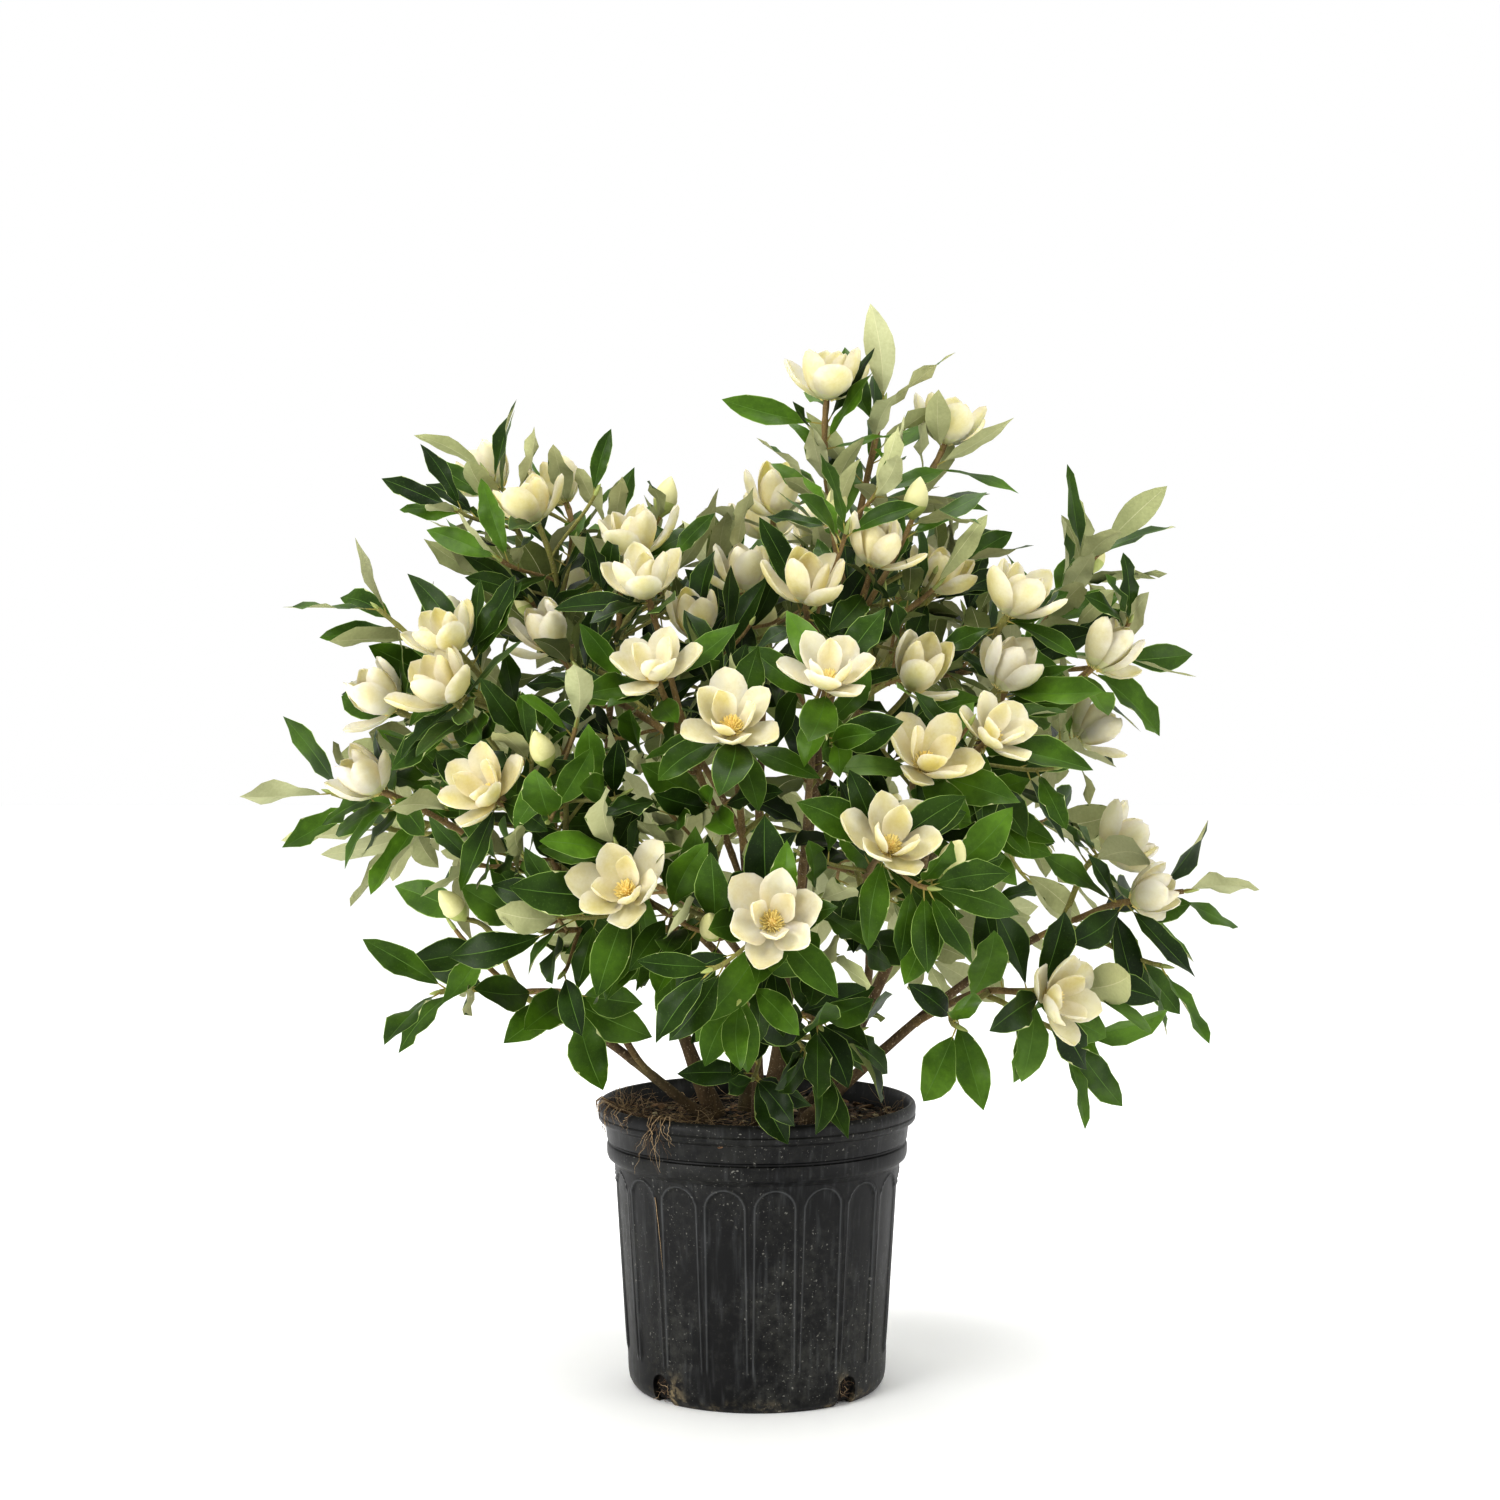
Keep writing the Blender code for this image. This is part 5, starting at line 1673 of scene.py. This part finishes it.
def fluteLines(column, radius, height, flutes, shoulder, start):
    # how far a place lies aside of the middle of its flute, and from the line that ends at the shoulder
    flute = (column * flutes + start).work("FRACT") - 0.5
    aside = flute * math.tau * radius / flutes
    above = (height - shoulder).atLeast(0.0)
    return aside, (aside * aside + above * above).work("SQRT")


def lineAt(fromEdge, out, halfWidth):  # 1 along a thin line that runs round each flute
    return (1.0 - abs(fromEdge - out) / halfWidth).atLeast(0.0)


def potTree():
    # turns the profile round Z and presses the arch-topped flutes in
    labels = ["Flute " + word for word in ("Depth", "Low", "Shoulder", "Half Width", "Turn")]
    tree, given = startGroup("turnedPot", "Columns", "Flutes", *labels)
    columns, halfWidth, fluteLow = given["Columns"], given["Flute Half Width"], given["Flute Low"]
    rows = tree.add("GeometryNodeAttributeDomainSize", {"Geometry": given}, "Point Count", component="MESH")
    grid = {"Size X": rows - 1, "Size Y": columns, "Vertices X": rows, "Vertices Y": columns + 1}
    grid = tree.add("GeometryNodeMeshGrid", grid)
    x, y = tree.parts(tree.add("GeometryNodeInputPosition"))[:2]
    row = (x + (rows - 1) * 0.5).work("ROUND")
    column = y / columns
    values = {"Geometry": given, "Value": tree.add("GeometryNodeInputPosition"), "Index": row}
    profile = tree.add("GeometryNodeSampleIndex", values, data_type="FLOAT_VECTOR")
    radius, fluted, height = tree.parts(profile)
    bearing = column * math.tau + given["Flute Turn"]
    fromMiddle = fluteLines(column, radius, height, given["Flutes"], given["Flute Shoulder"], 0.5)[1]
    soft = potShape["fluteSoft"]
    inFlute = fromMiddle.ramp(halfWidth + soft, halfWidth - soft)
    lowEnd = height.ramp(fluteLow - 0.003, fluteLow + 0.004)
    ridge = lineAt(fromMiddle - halfWidth, potShape["ridgeOut"], soft)
    onFlutes = fluted * lowEnd
    pressed = given["Flute Depth"] * inFlute - ridge * potShape["ridgeHeight"]
    radius = radius - onFlutes * pressed
    turned = tree.joined(radius * bearing.work("COSINE"), radius * bearing.work("SINE"), height)
    pot = tree.add("GeometryNodeSetPosition", {"Geometry": grid, "Position": turned})
    pot = tree.add("GeometryNodeMergeByDistance", {"Geometry": pot, "Distance": 0.00002})
    return endGroup(tree, given, pot)


potFinish = {
    "black": "060607",
    # this tone paints wear and also a painted highlight along each flute's edge
    "worn": "686a6b",
    "dust": "aaa89f",
    "haze": "5c5c56",
    "soilStain": "9c8c6c",
    # painted shade for the dark line round each flute
    "groove": "060606",
    # painted shade inside the rim
    "inside": "030303",
    "edgeLine": (0.0010, 0.0013),  # out from a flute's edge, and half as wide as the line of wear and painted highlight
    "grooveLine": (0.0036, 0.0016),  # the same of the dark line of painted shade round it
    "grooveFade": (0.0, 0.008),  # across each flute, from its fainter side to the darker one: the painted shade is strongest on the side away from the light
    "bodyFoot": (0.030, 0.040),  # the lines fade out past these heights
    "bodyHead": (0.199, 0.196),
    "stainReach": (0.034, 0.008),  # round the drain holes
    "stainTop": (0.040, 0.008),
    # where the inside of the rim is painted darker, as shade
    "insideRadii": (0.1325, 0.1312),
    "insideHeights": (0.214, 0.218),
    "roughness": 0.36,
    "relief": (0.7, 0.0008),
}


def potRecipe(tree, place):
    # black plastic with worn flute edges, fine dust and dried soil round the drain holes, and painted light:
    # a highlight along the flute edges, a shade line round each flute and shade inside the rim
    shape, tones = potShape, potFinish
    x, y, z = tree.parts(place)
    bearing = y.work("ARCTAN2", x)
    radius = (x * x + y * y).work("SQRT")
    column = (bearing - math.radians(shape["fluteTurn"])) / math.tau
    aside, fromMiddle = fluteLines(column, radius, z, shape["flutes"], shape["fluteShoulder"], 40.5)
    fromEdge = fromMiddle - shape["fluteHalfWidth"]
    onBody = z.ramp(*tones["bodyFoot"]) * z.ramp(*tones["bodyHead"])
    # a light line along each flute's edge: wear, and a painted highlight where the ridge would catch the
    # light
    edge = lineAt(fromEdge, *tones["edgeLine"]) * onBody
    # a dark line round each flute: painted shade, darker on the side away from the light
    groove = lineAt(fromEdge, *tones["grooveLine"]) * onBody
    groove = groove * (0.25 + 0.75 * aside.ramp(*tones["grooveFade"]))
    holes = shape["drainHoles"] / math.tau
    hole = ((bearing - math.radians(shape["drainTurn"])) * holes + 40.5).work("FRACT") - 0.5
    nearHole = abs(hole) * (math.tau / shape["drainHoles"]) * radius
    nearHole = nearHole.ramp(*tones["stainReach"]) * z.ramp(*tones["stainTop"])
    cloud = tree.noise(place, 9, 4.0, 0.6)
    grain = tree.noise(place, 120, 4.0, 0.7)
    patches = tree.noise(place, 34, 3.0, 0.6)
    speck = tree.noise(place, 460, 1.0)
    bigSpeck = tree.noise(place, 210, 0.0)
    scuff = tree.noise(tree.vector("MULTIPLY", place, (1, 1, 0.12)), 190, 3.0)
    dusty = (cloud * 0.7 + grain * 0.6).ramp(0.58, 0.86) * (0.3 + 0.3 * z.ramp(0.19, 0.06))
    specks = (speck.ramp(0.66, 0.77) * 0.8 + bigSpeck.ramp(0.84, 0.87)).atMost(1.0) * cloud.ramp(0.40, 0.58)
    stain = patches.ramp(0.46, 0.66) * grain.ramp(0.40, 0.62) * nearHole
    foot = z.ramp(0.016, 0.003) * grain.ramp(0.45, 0.7) * patches.ramp(0.4, 0.6) * 0.3
    # wear and a painted highlight along the flute edges, with scuffs
    worn = edge * (0.25 + 0.3 * patches) + scuff.ramp(0.50, 0.8) * 0.20
    tone = tree.mix(worn, tones["black"], tones["worn"])
    tone = tree.mix(dusty * 0.5, tone, tones["haze"])
    tone = tree.mix(specks * 0.45, tone, tones["dust"])
    tone = tree.mix((stain * 0.7 + foot).atMost(0.7), tone, tones["soilStain"])
    # the painted shade line round each flute
    tone = tree.mix(groove * 0.8, tone, tones["groove"])
    # the inside of the rim darkened: painted shade
    inside = radius.ramp(*tones["insideRadii"]) * z.ramp(*tones["insideHeights"])
    tone = tree.mix(inside * 0.85, tone, tones["inside"])
    roughness = tones["roughness"] + dusty * 0.3 + (stain * 0.4).atMost(0.4) + grain * 0.1
    relief = edge * 0.9 - groove * 0.5 + grain * 0.12 + stain * 0.3
    return tree.surface(tone, roughness, relief, *tones["relief"])


def drainCutters():
    shape = potShape
    height, width, reach = shape["drainHeight"], shape["drainWidth"], shape["drainReach"]
    outline = [(-0.5, -0.010), (0.5, -0.010)]
    for step in range(11):
        turn = math.pi * step / 10
        outline.append((0.5 * math.cos(turn), height - width * 0.5 * (1 - math.sin(turn))))
    middle = shape["footRadius"] + shape["drainOut"]
    heap = Heap()
    for hole in range(shape["drainHoles"]):
        along = onCircle(math.radians(shape["drainTurn"]) + math.tau * hole / shape["drainHoles"], 1, 0)
        across = Vector((-along.y, along.x, 0))
        corners = [along * distance + across * (share * width) + up * rise
                   for distance in (middle - reach / 2, middle + reach / 2) for share, rise in outline]
        heap.add(corners, ringFaces(2, len(outline)))
    return outwardNormals(meshOf("drain_cutter", heap.corners(), heap.faces))


def outwardNormals(mesh):
    shape = bmesh.new()
    shape.from_mesh(mesh)
    bmesh.ops.recalc_face_normals(shape, faces=shape.faces)
    shape.to_mesh(mesh)
    shape.free()
    return mesh


def buildPot():
    # worn black plastic that also holds painted highlights and painted shade
    plastic = finish("pot_plastic_worn", potRecipe, **{"Specular IOR Level": 0.26})
    values = {**potShape, "fluteTurn": math.radians(potShape["fluteTurn"])}
    mesh = grown("pot_profile", meshOf("pot_profile", potProfile()), potTree(), plastic, **values)
    pot = placed("pot_wall", outwardNormals(mesh))
    cutter = placed("drain_cutter", drainCutters())
    cutter.data.materials.append(plastic)
    cut = pot.modifiers.new("drain_holes", "BOOLEAN")
    cut.operation = "DIFFERENCE"
    cut.solver = "EXACT"
    cut.object = cutter
    cutMesh = plainMesh(pot)
    pot.modifiers.clear()
    for made in (pot, cutter):
        bpy.data.objects.remove(made)
    addPiece("pot_wall", cutMesh, [], ["pot"], 32)


# soil, bark chips and roots

soilValues = {
    "rows": 34,
    "columns": 120,
    "topRadius": 0.1288,
    "relief": 0.0042,
    "mound": 0.0130,  # how much higher the soil lies by the rim at the front left
    "moundBearing": -155,
    "tones": ("0a0704", "261b12"),
}

chipValues = {
    "chips_dark": {
        "spacing": 0.0056,
        "leastSize": 0.0035,
        "mostSize": 0.0095,
        "flatness": 0.40,
        "tones": ("120c08", "2e2117"),
        "seed": 3,
    },
    "chips_brown": {
        "spacing": 0.0105,
        "leastSize": 0.0040,
        "mostSize": 0.0140,
        "flatness": 0.34,
        "tones": ("43342a", "6d5746"),
        "seed": 11,
    },
    "chips_orange": {
        "spacing": 0.0220,
        "leastSize": 0.0060,
        "mostSize": 0.0170,
        "flatness": 0.30,
        "tones": ("6c5139", "98795a"),
        "seed": 23,
    },
    "chips_pale": {
        "spacing": 0.0200,
        "leastSize": 0.0035,
        "mostSize": 0.0100,
        "flatness": 0.50,
        "tones": ("8d7f66", "c3b799"),
        "seed": 37,
    },
}

rootValues = {
    "matted": 270,  # fine roots that lie over the soil, most of them at the left
    "mattedReach": 0.120,
    "mattedEdge": 0.127,
    "mattedHeights": (0.0006, 0.0126),  # above the soil
    "standing": 84,  # those that stand up from it by the rim
    "standingReach": 0.118,
    "standingEdge": 0.129,
    "overRim": [  # bearing, how far it hangs, how far it drifts (degrees), strands
        (-127, 0.050, -9, 5), (-130, 0.046, 5, 5), (-124, 0.022, 4, 3), (-139, 0.016, -4, 3),
        (-160, 0.044, -2, 2), (-150, 0.012, 3, 4), (-166, 0.014, -4, 5), (-158, 0.016, 4, 4),
        (-176, 0.010, -3, 4),
    ],
    "rimSteps": 8,
    "forkFrom": 0.03,  # strands that hang further have a side branch
    "inHoles": 16,  # in each drain hole
    "holeReach": 0.1068,
    "holeEdge": 0.1125,
    "stuck": (-134.5, 0.182, 0.120),  # on the wall: bearing, from height, to height
    "thickness": (0.00020, 0.00055),
    "steps": 9,
    "tones": [("3f3022", "6d563e"), ("806c52", "bda480")],
}


def earthRecipe(tree, place, dark, light):
    clods = tree.noise(place, 160, 6.0, 0.7)
    fine = tree.noise(place, 900, 3.0)
    tone = tree.mix((clods + fine * 0.4 - 0.2).ramp(0.35, 0.75), dark, light)
    return tree.surface(tone, 0.85 + fine * 0.12, clods + fine * 0.4, 0.9, 0.002)


def woodRecipe(tree, place, dark, light):
    grain = tree.noise(tree.vector("MULTIPLY", place, (1, 1, 3)), 300, 4.0, 0.6)
    return tree.surface(tree.mix(grain.ramp(0.3, 0.72), dark, light), 0.7 + grain * 0.2, grain, 0.5, 0.0008)


def soilHeight(x, y):
    values = soilValues
    clods = noise.noise(Vector((x * 60, y * 60, 2))) + 0.6 * noise.noise(Vector((x * 150, y * 150, 7)))
    bearing = math.atan2(y, x) - math.radians(values["moundBearing"])
    atSide = max(0.0, math.cos(bearing)) ** 3 * max(0.0, math.hypot(x, y) / 0.125 - 0.35)
    return limbRule["soilTop"] + values["relief"] * clods + values["mound"] * atSide


def onSoil(turn, radius, above=0.0):
    x, y = radius * math.cos(turn), radius * math.sin(turn)
    return Vector((x, y, soilHeight(x, y) + above))


def buildSoil():
    values, shape = soilValues, potShape
    rows, columns, topRadius = values["rows"], values["columns"], values["topRadius"]
    inside = shape["wall"] + shape["fluteDepth"] + 2 * limbRule["gap"]
    corners = [Vector((0, 0, soilHeight(0, 0)))]
    for row in range(1, rows + 1):
        corners += [onSoil(turn, topRadius * row / rows) for turn in turns(columns)]
    sides = [
        (topRadius, 0.216),
        (0.1280, 0.203),
        (bodyRadius(0.194) - inside, 0.194),
        (shape["bodyLowRadius"] - inside, shape["bodyLow"]),
        (shape["footRadius"] - 0.0035, 0.0030),
    ]
    corners += [onCircle(turn, radius, height) for radius, height in sides for turn in turns(columns)]
    faces = [(0, 1 + column, 1 + (column + 1) % columns) for column in range(columns)]
    last = 1 + (rows + len(sides) - 1) * columns  # where the lowest ring starts
    for first in range(1, last, columns):
        for column in range(columns):
            a, b = first + column, first + (column + 1) % columns
            faces.append((a, a + columns, b + columns, b))
    faces.append(tuple(range(last + columns - 1, last - 1, -1)))
    heap = Heap()
    heap.add(corners, faces)
    heap.piece("soil_earth", [finish("soil_earth", earthRecipe, *values["tones"])], "soil", ["soil"])
    count = 1 + rows * columns
    return meshOf("soil_top", corners[:count], [face for face in faces if max(face) < count])


def chipTree():
    # bark chips scattered over a surface, each turned and sized by chance
    tree, given = startGroup("chipsOnSoil", "Spacing", "Least Size", "Most Size", "Flatness", "Seed")
    seed = given["Seed"]
    values = {"Mesh": given, "Distance Min": given["Spacing"], "Density Max": 60000.0, "Seed": seed}
    spots = tree.add("GeometryNodeDistributePointsOnFaces", values, distribute_method="POISSON")
    chip = tree.add("GeometryNodeMeshIcoSphere", {"Radius": 0.5, "Subdivisions": 2})
    ragged = tree.noise(tree.vector("ADD", tree.add("GeometryNodeInputPosition"), (3.1, 1.7, 0.4)), 2.2, 2.0)
    place = tree.add("GeometryNodeInputPosition")
    shape = tree.joined(ragged * 2.0, ragged * 1.1, ragged * given["Flatness"] * 1.2)
    place = tree.vector("MULTIPLY", place, shape)
    chip = tree.add("GeometryNodeSetPosition", {"Geometry": chip, "Position": place})
    values = {0: (-0.5, -0.5, 0.0), 1: (0.5, 0.5, math.tau), "Seed": seed + 1}
    turn = tree.add("FunctionNodeRandomValue", values, data_type="FLOAT_VECTOR")
    values = {2: given["Least Size"], 3: given["Most Size"], "Seed": seed + 2}
    size = tree.add("FunctionNodeRandomValue", values, 1, data_type="FLOAT")
    return endGroup(tree, given, tree.scattered(spots, chip, turn, size))


def buildChips(top):
    group = chipTree()
    for name, values in chipValues.items():
        made = grown(name, top.copy(), group, finish(name, woodRecipe, *values["tones"]), **values)
        addPiece(name, made, [], ["soil"], 30)


def strand(name, start, way, length, wander, fall=0.0):
    # the places along a root that wanders and sinks by its own weight
    places, heading, steps = [start], way.normalized(), rootValues["steps"]
    for step in range(steps):
        push = Vector([chance(name, step, part) - 0.5 for part in "xyz"]) * wander
        heading = (heading + push - up * fall).normalized()
        places.append(places[-1] + heading * (length / steps))
    return places


def pullIn(place, edge):  # moves a place that lies past this radius back to it
    over = math.hypot(place.x, place.y)
    if over > edge:
        place.x, place.y = place.x * edge / over, place.y * edge / over


# each of the next functions gives the name, the places and the thickness of its roots


def mattedRoots():
    values = rootValues
    least, most = values["mattedHeights"]
    for i in range(values["matted"]):
        name = f"matted{i}"
        bearing = math.radians(-150) + (chance(name, "bearing") - 0.5) * (5.4 if i % 3 else 1.6)
        reach = values["mattedReach"] * math.sqrt(0.1 + 0.9 * chance(name, "reach"))
        way = onCircle(math.tau * chance(name, "heading"), 1, 0.25 * chance(name, "rise"))
        length = 0.02 + 0.05 * chance(name, "length")
        places = strand(name, onSoil(bearing, reach, 0.003), way, length, 0.75)
        for place in places:
            pullIn(place, values["mattedEdge"])
            height = soilHeight(place.x, place.y)
            place.z = max(height + least, min(place.z, height + most))
        yield name, places, 1.0


def standingRoots():
    values = rootValues
    for i in range(values["standing"]):
        name = f"standing{i}"
        bearing = math.radians((-168 if i % 3 else -12) + 44 * (chance(name, "bearing") - 0.5))
        way = Vector((chance(name, "x") - 0.5, chance(name, "y") - 0.5, 1.0))
        length = 0.018 + 0.020 * chance(name, "length")
        places = strand(name, onSoil(bearing, values["standingReach"]), way, length, 0.9, 0.06)
        for place in places:
            if place.z < potShape["height"] + 0.002:
                pullIn(place, values["standingEdge"])
        yield name, places, 0.7


def rimRoots():
    values, top, lip = rootValues, potShape["height"], potShape["lipRadius"]
    steps = values["rimSteps"]
    for number, (middle, hang, drift, strands) in enumerate(values["overRim"]):
        for i in range(strands):
            name = f"rim{number}-{i}"
            bearing = middle + 6 * (chance(name, "bearing") - 0.5)
            height = 0.0012 + 0.0030 * chance(name, "over")
            long = hang * (1 - 0.5 * chance(name, "long") if i else 1)
            turned = drift * (1 + 1.2 * (chance(name, "drift") - 0.5))
            places = [polar(bearing + 4, 0.112, top - 0.012), polar(bearing + 1, 0.128, top - 0.001)]
            places.append(polar(bearing, lip - 0.003, top + height))
            for step in range(1, steps + 1):
                down = long * step / steps
                wander = 2.2 * (chance(name, step, "wander") - 0.5)
                edge = lip + height * 0.5 - max(0.0, down - 0.010) * 0.10
                places.append(polar(bearing + turned * step / steps + wander, edge, top - down))
            yield name, places, 1.2
            if i < 4 and hang > values["forkFrom"]:
                way = Vector((chance(name, "fork") - 0.5, 0, -0.6))
                length = 0.012 + 0.01 * chance(name, "forkLength")
                yield name + "fork", strand(name, places[5], way, length, 0.5, 0.1), 0.7


def holeRoots():
    values, holes = rootValues, potShape["drainHoles"]
    for hole in range(holes):
        for i in range(values["inHoles"]):
            name = f"hole{hole}-{i}"
            bearing = potShape["drainTurn"] + 360 * hole / holes + 7 * (chance(name, "bearing") - 0.5)
            reach = values["holeReach"] + 0.003 * chance(name, "depth")
            start = polar(bearing, reach, 0.004 + 0.016 * chance(name, "height"))
            way = Vector([chance(name, part) - 0.5 for part in "xyz"])
            places = strand(name, start, way, 0.010 + 0.008 * chance(name, "length"), 1.6)
            for place in places:
                place.z = max(0.002, place.z)
                pullIn(place, values["holeEdge"])
            yield name, places, 1.1


def stuckRoot():
    bearing, high, low = rootValues["stuck"]
    places = []
    for share, height in zip(spread(0, 1, 9), spread(high, low, 9)):
        turned = bearing + 2.5 * share + 0.4 * chance("stuck", share)
        places.append(polar(turned, bodyRadius(height) + 0.0004, height))
    yield "stuck", places, 1.0


def buildRoots():
    thin, thick = rootValues["thickness"]
    heap = Heap()
    for roots in (mattedRoots, standingRoots, rimRoots, holeRoots, stuckRoot):
        for name, places, scale in roots():
            first = between((thin, thick), chance(name, "thick")) * scale
            heap.tube(places, spread(first, thin * 0.6, len(places)), 4, int(chance(name, "tone") * 2))
    materials = [finish(f"root_{i}", woodRecipe, *tones) for i, tones in enumerate(rootValues["tones"])]
    heap.piece("fine_roots", materials, "soil", ["soil"])


setStage()
buildPot()
buildChips(buildSoil())
buildRoots()
limbs, shoots = planPlant()
crown = Crown(shoots, [limb.solid() for limb in limbs.values()] + [potSpace()])
crown.growMain()
crown.report("main leaves:")
crown.growFiner()
crown.report("with finer twigs:")
buildLimbs(limbs)
buildTwigs(shoots)
buildLeaves(crown, buildBlooms(shoots))
